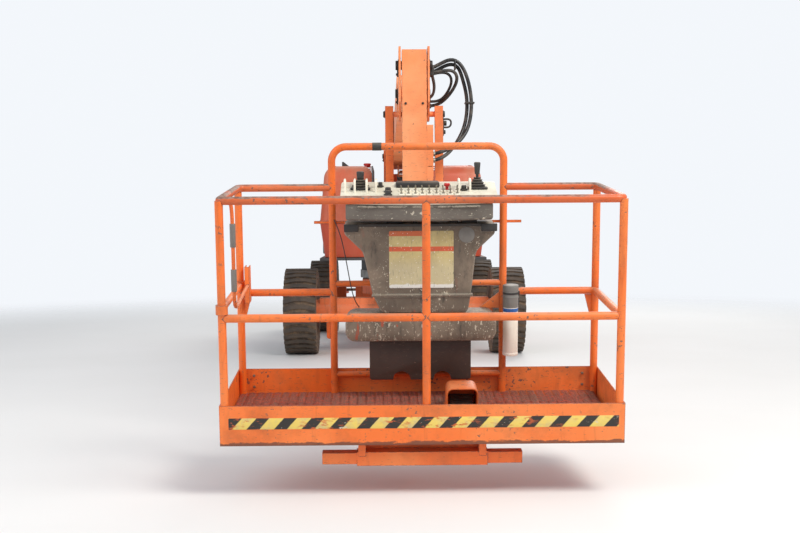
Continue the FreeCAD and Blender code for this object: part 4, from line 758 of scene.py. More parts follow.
def makeBandMaterial(facts):
    # leaning yellow and black stripes, scuffed through to the orange
    material, tree, shader, place = newMaterial("hazardStripes", onPlatform=True)
    axes = splitAxes(tree, place)
    along = addMath(tree, "SUBTRACT", axes["X"], multiply(tree, axes["Z"], facts["lean"]))
    wobble = multiply(tree, addNoise(tree, place, 60, 3, 0.6), 0.004)
    along = addMath(tree, "ADD", along, wobble)
    phase = addMath(tree, "FRACT", addMath(tree, "DIVIDE", addMath(tree, "ADD", along, 8.0), facts["pitch"]))
    dark = multiply(tree, addRange(tree, phase, 0.02, 0.05), addRange(tree, phase, 0.52, 0.49))
    stained = addMix(
        tree, addPatches(tree, place, (14, 6, 0.7), 0.42, 0.72), screen(236, 206, 100),
        screen(206, 184, 132),
    )
    colour = addMix(tree, dark, stained, screen(46, 42, 38))
    scuff = addPatches(tree, place, (38, 5, 0.7, (0.5, 1, 1.6)), 0.54, 0.60)
    gate = addPatches(tree, place, (4.5, 3, 0.5), 0.40, 0.54)
    colour = addMix(tree, multiply(tree, scuff, gate), colour, screen(206, 96, 44))
    pale = addPatches(tree, place, (52, 4, 0.7, (0.4, 1, 1)), 0.64, 0.69)
    colour = addMix(tree, pale, colour, screen(212, 200, 178))
    tree.links.new(colour, shader.inputs["Base Color"])
    shader.inputs["Roughness"].default_value = 0.5
    return material


def makeBand(facts):
    left, right, low, high, face = [facts[word] for word in ("left", "right", "low", "high", "face")]
    outline = [(left, low), (right, low), (right, high), (left, high)]
    band = cutPlate("hazardBand", outline, "Y", face - 0.0008, face + 0.0004, edge=0.0003)
    finishOnPlatform(band, "hazardStripes")


materials["hazardStripes"] = makeBandMaterial(bandFacts)
makeBand(bandFacts)
print("hazard band fixed")


# Console
def roundedOutline(points, steps=5):
    # points are across, up and the radius of that corner
    ring = []
    for number, (u, v, radius) in enumerate(points):
        here = Vector((u, v))
        before = (Vector(points[number - 1][:2]) - here).normalized()
        after = (Vector(points[(number + 1) % len(points)][:2]) - here).normalized()
        if radius <= 0:
            ring.append((u, v))
            continue
        half = before.angle(after) / 2
        reach = radius / math.tan(half)
        centre = here + (before + after).normalized() * radius / math.sin(half)
        first, last = here + before * reach - centre, here + after * reach - centre
        turn = first.angle_signed(last)
        for step in range(steps + 1):
            arm = first.copy()
            arm.rotate(Matrix.Rotation(-turn * step / steps, 2))
            ring.append(tuple(centre + arm))
    return ring


consoleFacts = {
    "front": -0.463, "back": -0.283, "edge": 0.012,
    "outline": (
        # across, up, corner radius
        (-0.190, 0.484, 0.03), (0.246, 0.484, 0.03), (0.262, 0.575, 0.0), (0.287, 0.795, 0.06),
        (0.382, 0.885, 0.03), (0.382, 0.938, 0.012), (-0.372, 0.938, 0.012), (-0.372, 0.885, 0.03),
        (-0.280, 0.795, 0.06), (-0.232, 0.575, 0.0),
    ),
    "shelf": ((-0.372, 0.336, 0.05), (0.392, 0.336, 0.05), (0.392, 0.480, 0.05), (-0.372, 0.480, 0.05)),
    "foot": (
        (-0.252, 0.130, 0.015), (-0.134, 0.130, 0.0), (-0.125, 0.162, 0.03), (-0.088, 0.176, 0.03),
        (-0.052, 0.162, 0.03), (-0.042, 0.130, 0.0), (0.073, 0.130, 0.0), (0.082, 0.162, 0.03),
        (0.119, 0.176, 0.03), (0.155, 0.162, 0.03), (0.165, 0.130, 0.0), (0.265, 0.130, 0.015),
        (0.265, 0.340, 0.0), (-0.252, 0.340, 0.0),
    ),
    # left, right, low, high; the second is a thin black strip, painted shadow under the tray's front edge
    "ledge": (-0.238, 0.272, 0.568, 0.580), "paintedShadowStrip": (-0.300, 0.310, 0.924, 0.937),
    # left and right of each
    "blocks": ((-0.373, -0.300), (0.310, 0.391)),
    "mounts": ((-0.161, -0.078), (-0.029, -0.009), (0.157, 0.197), (0.217, 0.292)),
    "shoulders": (-0.335, 0.342), "shoulderHalf": 0.034,
    "placard": ((-0.149, 0.612, 0.008), (0.174, 0.612, 0.008), (0.174, 0.901, 0.008), (-0.149, 0.901, 0.008)),
    "round": (0.239, 0.880), "roundRadius": 0.040,
}


def makeSplashedMaterial():
    # warm grey moulding with pale paint splashes, long drips below the neck and grey dust
    material, tree, shader, place = newMaterial("splashedGrey", onPlatform=True)
    base = addMix(
        tree, addPatches(tree, place, (4, 6, 0.65), 0.36, 0.68), screen(104, 92, 78), screen(136, 121, 103)
    )
    base = addMix(
        tree, addPatches(tree, place, (16, 6, 0.7, (1.6, 1.6, 0.5)), 0.5, 0.75), base, screen(66, 61, 54)
    )
    drops = addPatches(tree, place, (120, 2, 0.5), 0.655, 0.68)
    big = addPatches(tree, place, (34, 4, 0.6), 0.655, 0.672)
    spread = addPatches(tree, place, (6, 3, 0.6), 0.40, 0.60)
    cream = multiply(tree, addMath(tree, "MAXIMUM", drops, big), spread)
    low = addRange(tree, splitAxes(tree, place)["Z"], 0.56, 0.47)
    drip = addPatches(tree, place, (95, 4, 0.6, (1.0, 1.0, 0.4)), 0.60, 0.65)
    cream = addMath(tree, "MAXIMUM", cream, multiply(tree, drip, multiply(tree, low, 0.85)), True)
    colour = addMix(tree, cream, base, screen(206, 198, 176))
    red = addPatches(tree, place, (30, 4, 0.6, (1.0, 1.0, 0.3)), 0.62, 0.66)
    red = multiply(tree, red, addMath(tree, "ADD", multiply(tree, low, 0.75), 0.12), True)
    colour = addMix(tree, red, colour, screen(178, 84, 58))
    edge = useGroup(tree, "edgeWear", place, {"Radius": 0.01, "Break": 30.0, "Amount": 0.9})
    colour = addMix(tree, multiply(tree, edge.outputs["Mask"], 0.7), colour, screen(168, 160, 144))
    dusted = useGroup(
        tree, "settledDust", place, {"Amount": 0.5, "Under": colour, "Dust": screen(170, 158, 138)}
    )
    tree.links.new(dusted.outputs["Colour"], shader.inputs["Base Color"])
    shader.inputs["Roughness"].default_value = 0.62
    grain = useGroup(tree, "mouldGrain", place, {"Size": 320.0})
    height = addMath(tree, "ADD", multiply(tree, grain.outputs["Height"], 0.3), multiply(tree, cream, 0.6))
    addBump(tree, shader, height, 0.35, 0.001)
    return material


def makeConsole(facts):
    front, back = facts["front"], facts["back"]
    body = cutPlate("consoleBody", roundedOutline(facts["outline"]), "Y", front, back, facts["edge"])
    shelf = cutPlate("consoleShelf", roundedOutline(facts["shelf"]), "Y", front - 0.006, back, 0.02)
    foot = cutPlate("consoleFoot", roundedOutline(facts["foot"]), "Y", front + 0.035, back, 0.004)
    left, right, low, high = facts["ledge"]
    ledge = softBox("consoleLedge", (left, front - 0.008, low), (right, front + 0.03, high), 0.004, 3)
    half = facts["shoulderHalf"]
    shoulders = [
        softBox(
            "consoleShoulder", (x - half, front - 0.012, 0.900), (x + half, front + 0.05, 0.936), 0.006, 3
        )
        for x in facts["shoulders"]
    ]
    grey = joinAll("consoleMoulding", [body, shelf, ledge, *shoulders])
    finishOnPlatform(grey, "splashedGrey", replaces=("console_body",))
    finishOnPlatform(foot, "brownBox")
    # a thin black strip along the front under the tray is painted shadow; the blocks and mounts are black
    # parts
    left, right, low, high = facts["paintedShadowStrip"]
    dark = [softBox("trayShadowStrip", (left, front - 0.0125, low), (right, front + 0.004, high), 0.001, 1)]
    for left, right in facts["blocks"]:
        dark.append(softBox(
            "trayBlock", (left, front - 0.014, 0.898), (right, front + 0.004, high), 0.004, 2
        ))
    for left, right in facts["mounts"]:
        dark.append(softBox(
            "trayMount", (left, front + 0.022, 0.932), (right, back - 0.030, 0.965), 0.003, 2
        ))
    finishOnPlatform(joinAll("trayBlocksAndShadowStrip", dark), "blackPlastic")


def makePlacardMaterial():
    # a bare yellowed plate with coloured bands, its lower edge worn white
    material, tree, shader, place = newMaterial("bandedPlacard", onPlatform=True)
    axes = splitAxes(tree, place)
    across, up = axes["X"], axes["Z"]
    colour = addMix(
        tree, addPatches(tree, place, (9, 6, 0.7), 0.35, 0.7), screen(204, 186, 128), screen(178, 158, 108)
    )
    redBand = multiply(tree, addRange(tree, up, 0.797, 0.799), addRange(tree, up, 0.823, 0.821))
    colour = addMix(tree, redBand, colour, screen(206, 92, 56))
    strip = multiply(tree, addRange(tree, up, 0.874, 0.876), addRange(tree, across, 0.052, 0.05))
    colour = addMix(tree, strip, colour, screen(204, 104, 62))
    paleBelow = multiply(tree, addRange(tree, up, 0.79, 0.70), 0.55)
    colour = addMix(tree, paleBelow, colour, screen(198, 190, 160))
    ragged = addMath(tree, "ADD", up, multiply(tree, addNoise(tree, place, 24, 5, 0.7), 0.03))
    colour = addMix(tree, addRange(tree, ragged, 0.648, 0.642), colour, screen(222, 220, 210))
    scratch = addPatches(tree, place, (60, 4, 0.6, (3.0, 1.0, 0.4)), 0.61, 0.66)
    colour = addMix(tree, multiply(tree, scratch, 0.7), colour, screen(112, 104, 88))
    speck = addPatches(tree, place, (120, 2, 0.5), 0.68, 0.70)
    colour = addMix(tree, speck, colour, screen(232, 228, 216))
    tree.links.new(colour, shader.inputs["Base Color"])
    shader.inputs["Roughness"].default_value = 0.45
    return material


def makePlacard(facts):
    face, back = facts["front"], facts["front"] + 0.001
    plate = cutPlate("placard", roundedOutline(facts["placard"]), "Y", face - 0.0022, back, 0.0006)
    finishOnPlatform(plate, "bandedPlacard")
    x, z = facts["round"]
    disc = softRod("roundPlace", (x, face - 0.0018, z), (x, back, z), facts["roundRadius"], 0.0005, 40)
    finishOnPlatform(disc, "greyPlastic")


materials["splashedGrey"] = makeSplashedMaterial()
materials["bandedPlacard"] = makePlacardMaterial()
makeConsole(consoleFacts)
makePlacard(consoleFacts)
print("console moulded")


# Console tray and switch panel
panelFacts = {
    "back": -0.283, "low": 0.962, "trayFront": -0.521, "trayLeft": -0.362, "trayRight": 0.366,
    "trayTop": 1.045,
    "bow": 0.016, "sag": 0.006, "rib": ((-0.30, -0.541, 1.026), (0.30, -0.50, 1.032)),
    # the slope runs from the nose to the crest: across the depth, up
    "nose": (-0.536, 1.078), "crest": (-0.345, 1.133), "sole": 1.0455, "half": 0.388,
    "lip": (
        (-0.384, -0.520, 1.052), (-0.2, -0.536, 1.046), (0, -0.540, 1.044),
        (0.2, -0.536, 1.046), (0.384, -0.520, 1.052),
    ),
    "box": ((-0.112, -0.42, 1.110), (0.106, -0.335, 1.142)),
    "toggles": 9, "toggleFrom": -0.086, "toggleTo": 0.190, "toggleRows": (-0.505, -0.462),
    "pegs": (-0.366, -0.317, -0.258, -0.212, 0.200, 0.255),
    "pegBend": (
        (-0.47, 1.09), (-0.472, 1.135), (-0.474, 1.152), (-0.458, 1.157),
        (-0.43, 1.157), (-0.414, 1.152), (-0.412, 1.13), (-0.412, 1.10),
    ),
    # across, depth, radius
    "knobs": ((-0.152, -0.47, 0.016), (-0.152, -0.512, 0.016), (-0.19, -0.4, 0.012), (0.225, -0.45, 0.014)),
    "stop": (0.142, -0.44),
}
stickFacts = {
    "y": -0.403, "plateHalf": 0.050, "low": 1.106, "plateTop": 1.116,
    # across, top, radius of the knob
    "sticks": ((-0.290, 1.195, 0.020), (0.295, 1.238, 0.017)),
    "boot": {"low": 1.112, "high": 1.162, "base": 0.046, "top": 0.016, "folds": 4},
}


def makeTray(facts):
    low, bow, sag = facts["low"], facts["bow"], facts["sag"]
    near = (facts["trayLeft"], facts["trayFront"], low)
    far = (facts["trayRight"], facts["back"], facts["trayTop"])
    tray = softBox("trayShell", near, far, 0, 0)
    choose(tray)
    bpy.ops.object.mode_set(mode="EDIT")
    bpy.ops.mesh.select_mode(type="FACE")
    bpy.ops.mesh.select_all(action="SELECT")
    bpy.ops.mesh.subdivide(number_cuts=7)
    mesh = bmesh.from_edit_mesh(tray.data)
    # the front bows out and the underside sags a little
    for vert in mesh.verts:
        swell = max(0.0, 1 - (vert.co.x / 0.37) ** 2)
        if vert.co.y < facts["trayFront"] + 0.021:
            vert.co.y -= bow * swell
        if vert.co.z < low + 0.002 and vert.co.y < -0.47:
            vert.co.z -= sag * swell
    bmesh.update_edit_mesh(tray.data)
    bpy.ops.object.mode_set(mode="OBJECT")
    bevelEdges(tray, 0.012, 3, 50)
    rib = softBox("trayRib", *facts["rib"], 0.003, 2)
    finishOnPlatform(
        joinAll("consoleTray", [tray, rib]), "trayGrey", replaces=("console_tray",)
    )


def makePanel(facts):
    back, sole = facts["back"], facts["sole"]
    (noseY, noseZ), (crestY, crestZ) = facts["nose"], facts["crest"]
    slope = (crestZ - noseZ) / (crestY - noseY)
    side = [
        (noseY, sole, 0.006), (back, sole, 0.01), (back, crestZ, 0.012), (crestY, crestZ, 0.02),
        (noseY, noseZ, 0.008),
    ]
    wedge = cutPlate("panelWedge", roundedOutline(side), "X", -facts["half"], facts["half"], 0.006)
    lip = bentTube("panelLip", facts["lip"], 0.008)
    box = softBox("panelBox", *facts["box"], 0.010, 3)
    finishOnPlatform(
        joinAll("switchPanel", [wedge, lip]), "panelCream", replaces=("console_panel",)
    )
    finishOnPlatform(box, "blackPlastic")
    tiles, levers = [], []
    for number in range(facts["toggles"]):
        x = facts["toggleFrom"] + (facts["toggleTo"] - facts["toggleFrom"]) * number / (facts["toggles"] - 1)
        lean = 0.002 * (number % 3 - 1)
        for y in facts["toggleRows"]:
            z = noseZ + (y - noseY) * slope
            tiles.append(softBox(
                "tile", (x - 0.013, y - 0.014, z - 0.004), (x + 0.013, y + 0.014, z + 0.004), 0.002, 2
            ))
            levers.append(softRod("collar", (x, y, z), (x, y, z + 0.010), 0.007, 0.001, 12))
            levers.append(softRod(
                "lever", (x, y, z + 0.008), (x + lean, y - 0.006, z + 0.030), 0.0028, 0.0008, 10, 0.004
            ))
    finishOnPlatform(joinAll("toggleTiles", tiles), "whitePlastic")
    finishOnPlatform(joinAll("toggleLevers", levers), "boltZinc")
    pegs = [bentTube("peg", [(x, y, z) for y, z in facts["pegBend"]], 0.0055, sides=2) for x in facts["pegs"]]
    finishOnPlatform(joinAll("pegGuards", pegs), "whitePlastic")
    knobs = []
    for x, y, radius in facts["knobs"]:
        z = noseZ + (y - noseY) * slope
        knobs.append(softRod("knob", (x, y, z), (x, y, z + 0.024), radius, 0.004, 20, radius * 0.85))
        knobs.append(softRod("skirt", (x, y, z), (x, y, z + 0.006), radius + 0.005, 0.001, 20))
    finishOnPlatform(joinAll("turnKnobs", knobs), "blackPlastic")
    x, y = facts["stop"]
    stop = [
        softRod("stopStem", (x, y, 1.10), (x, y, 1.122), 0.008, 0.001, 20),
        softRod("stopHead", (x, y, 1.120), (x, y, 1.137), 0.016, 0.005, 28, 0.0145),
    ]
    finishOnPlatform(joinAll("stopButton", stop), "buttonRed")


def makeBellows(name, centre, low, high, base, top, folds):
    x, y = centre
    clearSelection()
    bpy.ops.mesh.primitive_cylinder_add(
        vertices=28, radius=1, depth=1, location=(0, 0, 0.5), end_fill_type="NGON"
    )
    boot = bpy.context.object
    bpy.ops.object.transform_apply(location=True)
    bpy.ops.object.mode_set(mode="EDIT")
    mesh = bmesh.from_edit_mesh(boot.data)
    sides = [edge for edge in mesh.edges if abs(edge.verts[0].co.z - edge.verts[1].co.z) > 0.5]
    bmesh.ops.subdivide_edges(mesh, edges=sides, cuts=folds * 4 - 1)
    for vert in mesh.verts:
        share = vert.co.z
        radius = base + (top - base) * share + 0.0045 * math.cos(share * folds * 2 * math.pi)
        vert.co = Vector((x + vert.co.x * radius, y + vert.co.y * radius, low + (high - low) * share))
    bmesh.update_edit_mesh(boot.data)
    bpy.ops.object.mode_set(mode="OBJECT")
    boot.name = name
    return boot


def makeSticks(facts):
    y, half, boot = facts["y"], facts["plateHalf"], facts["boot"]
    parts = []
    for x, top, radius in facts["sticks"]:
        corners = (x - half, y - half, facts["low"]), (x + half, y + half, facts["plateTop"])
        parts.append(softBox("stickPlate", *corners, 0.004, 2))
        parts.append(makeBellows("boot", (x, y), **boot))
        parts.append(softRod("stem", (x, y, 1.15), (x, y, top - 0.02), 0.007, 0.001, 14))
        parts.append(softRod("grip", (x, y, top - 0.062), (x, y, top), radius * 0.7, 0.006, 20, radius))
    finishOnPlatform(joinAll("driveSticks", parts), "blackPlastic", replaces=("joysticks",))


def makeButtonMaterial(name, colour, roughness):
    material, tree, shader, place = newMaterial(name)
    worn = addPatches(tree, place, (60, 4, 0.6), 0.4, 0.75)
    darker = tuple(c * 0.6 for c in screen(*colour)[:3]) + (1.0,)
    tree.links.new(addMix(tree, worn, screen(*colour), darker), shader.inputs["Base Color"])
    tree.links.new(
        addMath(tree, "ADD", multiply(tree, worn, 0.2), roughness, True), shader.inputs["Roughness"]
    )
    return material


materials["buttonRed"] = makeButtonMaterial("buttonRed", (196, 34, 28), 0.35)
materials["capBlue"] = makeButtonMaterial("capBlue", (38, 96, 168), 0.4)
makeTray(panelFacts)
makePanel(panelFacts)
makeSticks(stickFacts)
print("switch panel fitted")


# Foot switch and document tube
switchFacts = {
    "middle": 0.205, "half": 0.078, "front": -0.705, "back": -0.541, "high": 0.120, "wall": 0.006,
    "lift": 0.0335,
    "pedal": ((-0.690, 0.012), (-0.560, 0.046), (-0.560, 0.056), (-0.690, 0.022)), "pedalHalf": 0.058,
    "ribs": 6, "ribFrom": -0.680, "ribPitch": 0.022, "pin": (-0.562, 0.050), "pinHalf": 0.070,
}
tubeFacts = {
    "x": 0.473, "y": -0.3573, "low": 0.240, "high": 0.607, "neck": 0.497, "radius": 0.0385,
    "ring": (0.538, 0.552), "band": (0.470, 0.488), "strap": (0.560, 0.571),
}


def makeFootSwitch(facts):
    # a rounded hood, open to the front, over a ribbed pedal
    middle, half, wall, high = facts["middle"], facts["half"], facts["wall"], facts["high"]
    front, back = facts["front"], facts["back"]
    left, right = middle - half, middle + half
    outer = roundedOutline([(left, 0.001, 0), (left, high, 0.03), (right, high, 0.03), (right, 0.001, 0)])
    inner = roundedOutline([
        (right - wall, 0.001, 0), (right - wall, high - wall, 0.025), (left + wall, high - wall, 0.025),
        (left + wall, 0.001, 0),
    ])
    hood = cutPlate("switchHood", outer + inner, "Y", front, back, 0.0015)
    end = cutPlate("switchBack", outer, "Y", back - 0.006, back, 0.0015)
    base = softBox("switchBase", (left + 0.004, front, 0.001), (right - 0.004, back, 0.006), 0.001, 1)
    rim = softBox(
        "switchRim", (left - 0.008, back - 0.02, 0.001), (right + 0.008, back + 0.006, 0.006), 0.001, 1
    )
    hood = joinAll("footSwitchHood", [hood, end, base, rim])
    hood.location.z = facts["lift"]
    applyPlace(hood)
    finishOnPlatform(hood, "orangePaint", replaces=("foot_switch",))
    reach = facts["pedalHalf"]
    parts = [cutPlate("pedalPlate", facts["pedal"], "X", middle - reach, middle + reach, 0.002)]
    heel, sole = facts["pedal"][3]
    for number in range(facts["ribs"]):
        y = facts["ribFrom"] + facts["ribPitch"] * number
        z = sole + (y - heel) * 0.262
        low, top = (middle - 0.055, y - 0.003, z - 0.002), (middle + 0.055, y + 0.003, z + 0.003)
        parts.append(softBox("pedalRib", low, top, 0.001, 1))
    reach = facts["pinHalf"]
    parts.append(softRod(
        "pedalPin", (middle - reach, *facts["pin"]), (middle + reach, *facts["pin"]), 0.006, 0.001, 16
    ))
    pedal = joinAll("footPedal", parts)
    pedal.location.z = facts["lift"]
    applyPlace(pedal)
    finishOnPlatform(pedal, "blackPlastic")


def makeDocumentTube(facts):
    # white tube with a capped foot, a grey socket with rings, a blue band and its black strap
    x, y, radius = facts["x"], facts["y"], facts["radius"]
    low, neck, high = facts["low"], facts["neck"], facts["high"]

    def sleeve(name, bottom, top, extra, edge):
        return softRod(name, (x, y, bottom), (x, y, top), radius + extra, edge, 40)

    lower = [
        sleeve("tubeWall", low + 0.004, neck, 0, 0.001), sleeve("tubeFoot", low, low + 0.018, 0.001, 0.004)
    ]
    finishOnPlatform(
        joinAll("documentTube", lower), "whitePlastic", replaces=("document_tube",)
    )
    upper = [
        sleeve("socket", neck - 0.006, high - 0.012, 0.0012, 0.002),
        sleeve("socketRing", *facts["ring"], 0.0025, 0.003),
        sleeve("tubeCap", high - 0.034, high, 0.0022, 0.004),
    ]
    finishOnPlatform(joinAll("documentTubeCap", upper), "greyPlastic")
    finishOnPlatform(sleeve("tubeBand", *facts["band"], 0.0006, 0.0002), "capBlue")
    strap = [
        sleeve("strapRing", *facts["strap"], 0.0028, 0.001),
        softBox("strapTail", (x + 0.038, y - 0.004, 0.50), (x + 0.044, y + 0.004, 0.566), 0.0015, 1),
        softBox("strapBuckle", (x + 0.034, y - 0.010, 0.556), (x + 0.046, y + 0.010, 0.576), 0.002, 2),
        softRod("railStrap", (x - 0.012, -0.298, 0.565), (x + 0.012, -0.298, 0.565), 0.0205, 0.001, 24),
    ]
    finishOnPlatform(joinAll("documentTubeStrap", strap), "blackPlastic")


makeFootSwitch(switchFacts)
makeDocumentTube(tubeFacts)
print("foot switch and document tube fitted")

# Small things on the rails and the hoop
latchFacts = {
    "inner": -0.862, "outer": -0.886, "front": -0.372, "back": -0.300, "low": 0.523, "high": 0.711,
    "sheet": 0.004,
    "tab": ((-0.902, -0.312, 0.528), (-0.862, -0.292, 0.572)),
    "guide": (
        (-0.905, -0.872, 1.104), (-0.880, -0.872, 1.096), (-0.872, -0.872, 1.075), (-0.872, -0.872, 0.90),
        (-0.872, -0.872, 0.70), (-0.872, -0.870, 0.63), (-0.872, -0.845, 0.592), (-0.872, -0.79, 0.585),
        (-0.872, -0.60, 0.600), (-0.872, -0.45, 0.612), (-0.872, -0.365, 0.612),
    ),
    "guideRadius": 0.009, "guidePlace": (-0.872, -0.872), "sleeves": ((0.880, 0.990), (0.672, 0.776)),
    "sleeveRadius": 0.0135,
}
railFacts = {
    "tape": ((-0.230, -0.298, 1.313), (-0.184, -0.298, 1.313)), "tapeRadius": 0.0204,
    "wire": (
        (-0.436, -0.300, 0.955), (-0.425, -0.325, 0.938), (-0.398, -0.335, 0.88), (-0.372, -0.338, 0.76),
        (-0.350, -0.338, 0.62), (-0.330, -0.330, 0.52), (-0.306, -0.300, 0.487),
    ),
    "wireRadius": 0.0026,
    "gussetPost": 0.917, "gussetWide": 0.055, "gussetFoot": 0.019, "gussetTop": 0.545, "gussetLow": 0.405,
    "gussetFront": -0.3005, "gussetBack": -0.2955,
    "toeBolts": (-0.86, -0.44, 0.44, 0.86), "toeBoltRows": (0.062, 0.122), "floorBolts": (-0.9, 0.9, 0),
    "boltRadius": 0.008,
}


def makeLatch(facts):
    # folded catch beside the back left post, with the guide tube of the entry bar and its two grey sleeves
    inner, outer, front, back, sheet = [facts[word] for word in ("inner", "outer", "front", "back", "sheet")]
    outline = [
        (outer, front), (inner, front), (inner, back), (inner - sheet, back),
        (inner - sheet, front + sheet), (outer + sheet, front + sheet), (outer + sheet, back), (outer, back),
    ]
    parts = [
        cutPlate("latchFold", outline, "Z", facts["low"], facts["high"], 0.0008),
        softBox("latchTab", *facts["tab"], 0.001, 1),
        bentTube("guideTube", facts["guide"], facts["guideRadius"], sides=3),
    ]
    finishOnPlatform(joinAll("entryLatch", parts), "railPaint")
    sleeves = [
        softRod(
            "sleeve", (*facts["guidePlace"], low), (*facts["guidePlace"], high), facts["sleeveRadius"],
            0.002, 20,
        )
        for low, high in facts["sleeves"]
    ]
    finishOnPlatform(joinAll("guideSleeves", sleeves), "greyPlastic")


def makeRailThings(facts):
    tape = [
        softRod("hoopTape", *facts["tape"], facts["tapeRadius"], 0.001, 28),
        bentTube("looseWire", facts["wire"], facts["wireRadius"], sides=2),
    ]
    finishOnPlatform(joinAll("tapeAndWire", tape), "blackPlastic")
    gussets = []
    for side in (-1, 1):
        post = side * facts["gussetPost"]
        inward, foot = post - side * facts["gussetWide"], post - side * facts["gussetFoot"]
        low, top = facts["gussetLow"], facts["gussetTop"]
        outline = [(post, top), (inward, top), (foot, low), (post, low)]
        gussets.append(cutPlate("postGusset", outline, "Y", facts["gussetFront"], facts["gussetBack"], 0.001))
    finishOnPlatform(joinAll("postGussets", gussets), "railPaint")
    bolts = [
        softRod("toeBolt", (x, -0.286, z), (x, -0.2915, z), facts["boltRadius"], 0.001, 6)
        for x in facts["toeBolts"] for z in facts["toeBoltRows"]
    ]
    for x in facts["floorBolts"]:
        bolts.append(softRod(
            "floorBolt", (x, -0.955, 0.000), (x, -0.955, 0.008), facts["boltRadius"], 0.001, 6
        ))
    finishOnPlatform(joinAll("platformBolts", bolts), "boltZinc")


makeLatch(latchFacts)
makeRailThings(railFacts)
print("rail things fitted")


# Hoses from the yoke to the jib, laid in one wide loop
hoseFacts = {
    "radius": 0.0105, "yokeY": -2.9903, "jibY": -3.1083, "side": 0.315, "clip": 0.087, "face": 0.069,
    # how far the second hose lies behind and below the first
    "strands": ((0.0, 0.0), (0.024, 0.023)), "end": 1.658, "endStep": 0.036,
    # across, depth, up, width, height
    "ties": ((0.236, -2.979, 2.170, 0.010, 0.052), (0.318, -2.979, 1.955, 0.056, 0.010)),
    "clipFront": -3.031, "clipBack": -2.949, "clipLow": 2.107, "clipTop": 2.167,
    "return": (
        (0.100, -3.014, 2.126), (0.150, -3.012, 2.130), (0.212, -3.005, 2.150), (0.256, -2.990, 2.110),
        (0.236, -2.965, 2.045), (0.180, -2.93, 1.975), (0.135, -2.903, 1.950), (0.088, -2.900, 1.948),
    ),
    "second": (
        (0.100, -2.965, 2.120), (0.150, -2.960, 2.135), (0.205, -2.955, 2.135), (0.226, -2.945, 2.080),
        (0.190, -2.925, 2.010), (0.150, -2.915, 1.972), (0.110, -2.912, 1.972), (0.088, -2.912, 1.972),
    ),
    # end across, depth, up, radius
    "bosses": ((0.102, -2.900, 1.948, 0.015), (0.098, -2.930, 1.985, 0.012)), "bossFace": 0.0868,
    "bundle": (-3.016, -3.000, -2.984),
    "socket": ((-3.1255, 1.599), (-3.0905, 1.681)), "ferrules": (1.658, 1.622),
}


def makeHoses(facts):
    clip, face, jibY = facts["clip"], facts["face"], facts["jibY"]
    strands = []
    for number, (back, down) in enumerate(facts["strands"]):
        y = facts["yokeY"] + back
        outer = facts["side"] - down
        end = facts["end"] - facts["endStep"] * number
        strands.append(bentTube("longHose", [
            (clip + 0.004, y, 2.150 - down), (0.135, y, 2.166 - down), (0.190, y, 2.205 - down),
            (0.255, y, 2.200 - down), (outer - 0.012, y, 2.120 - down), (outer + 0.014, y, 2.000),
            (outer + 0.014, y - 0.004, 1.890), (outer - 0.014, y - 0.03, 1.780),
            (0.225 - down, -3.075, 1.700 - 0.03 * number),
            (0.150, jibY, end + 0.012), (0.110, jibY, end), (face + 0.006, jibY, end),
        ], facts["radius"], sides=4))
    for x, y, z, wide, high in facts["ties"]:
        low, top = (x - wide / 2, y - 0.028, z - high / 2), (x + wide / 2, y + 0.026, z + high / 2)
        strands.append(softBox("hoseTie", low, top, 0.003, 2))
    hose = joinAll("liftHoses", strands)
    choose(hose)
    bpy.ops.object.shade_smooth_by_angle(angle=math.radians(35))
    wear(hose, materials["hoseRubber"])
    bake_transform(hose)
    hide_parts("hose_upper", "hose_drop")
    low = (clip, facts["clipFront"], facts["clipLow"])
    top = (clip + 0.028, facts["clipBack"], facts["clipTop"])
    short = [
        softBox("hoseClip", low, top, 0.003, 2),
        bentTube("returnHose", facts["return"], 0.0095, sides=4),
        bentTube("secondReturn", facts["second"], 0.008, sides=4),
    ]
    for x, y, z, radius in facts["bosses"]:
        short.append(softRod("returnBoss", (facts["bossFace"], y, z), (x, y, z), radius, 0.002, 6))
    finishPiece(joinAll("returnHoses", short), "nose_yoke", "hoseRubber")
    bundle = []
    for y in facts["bundle"]:
        route = [
            (0.104, y, 2.112), (0.116, y, 2.07), (0.118, y, 2.03), (0.108, y, 1.995),
            (0.088, y + 0.006, 1.985),
        ]
        bundle.append(bentTube("bundle", route, 0.008, sides=3))
    finishPiece(joinAll("brownBundle", bundle), "nose_yoke", "brownBox")
    low, top = facts["socket"]
    socket = [softBox("hoseSocket", (face, *low), (face + 0.025, *top), 0.003, 2)]
    for z in facts["ferrules"]:
        socket.append(softRod("ferrule", (face + 0.024, jibY, z), (face + 0.046, jibY, z), 0.0135, 0.002, 20))
    finishPiece(joinAll("hoseSocket", socket), "jib_boom", "boltZinc")


def makeRubberMaterial():
    # scuffed black rubber with a faint braid
    material, tree, shader, place = newMaterial("hoseRubber")
    cloud = addPatches(tree, place, (14, 5, 0.65), 0.42, 0.7)
    tree.links.new(addMix(tree, cloud, screen(34, 34, 34), screen(88, 82, 74)), shader.inputs["Base Color"])
    tree.links.new(addMath(tree, "ADD", multiply(tree, cloud, 0.3), 0.38, True), shader.inputs["Roughness"])
    addBump(tree, shader, addNoise(tree, place, 260, 2, 0.5), 0.3, 0.0008)
    return material


materials["hoseRubber"] = makeRubberMaterial()
makeHoses(hoseFacts)
print("hoses laid")

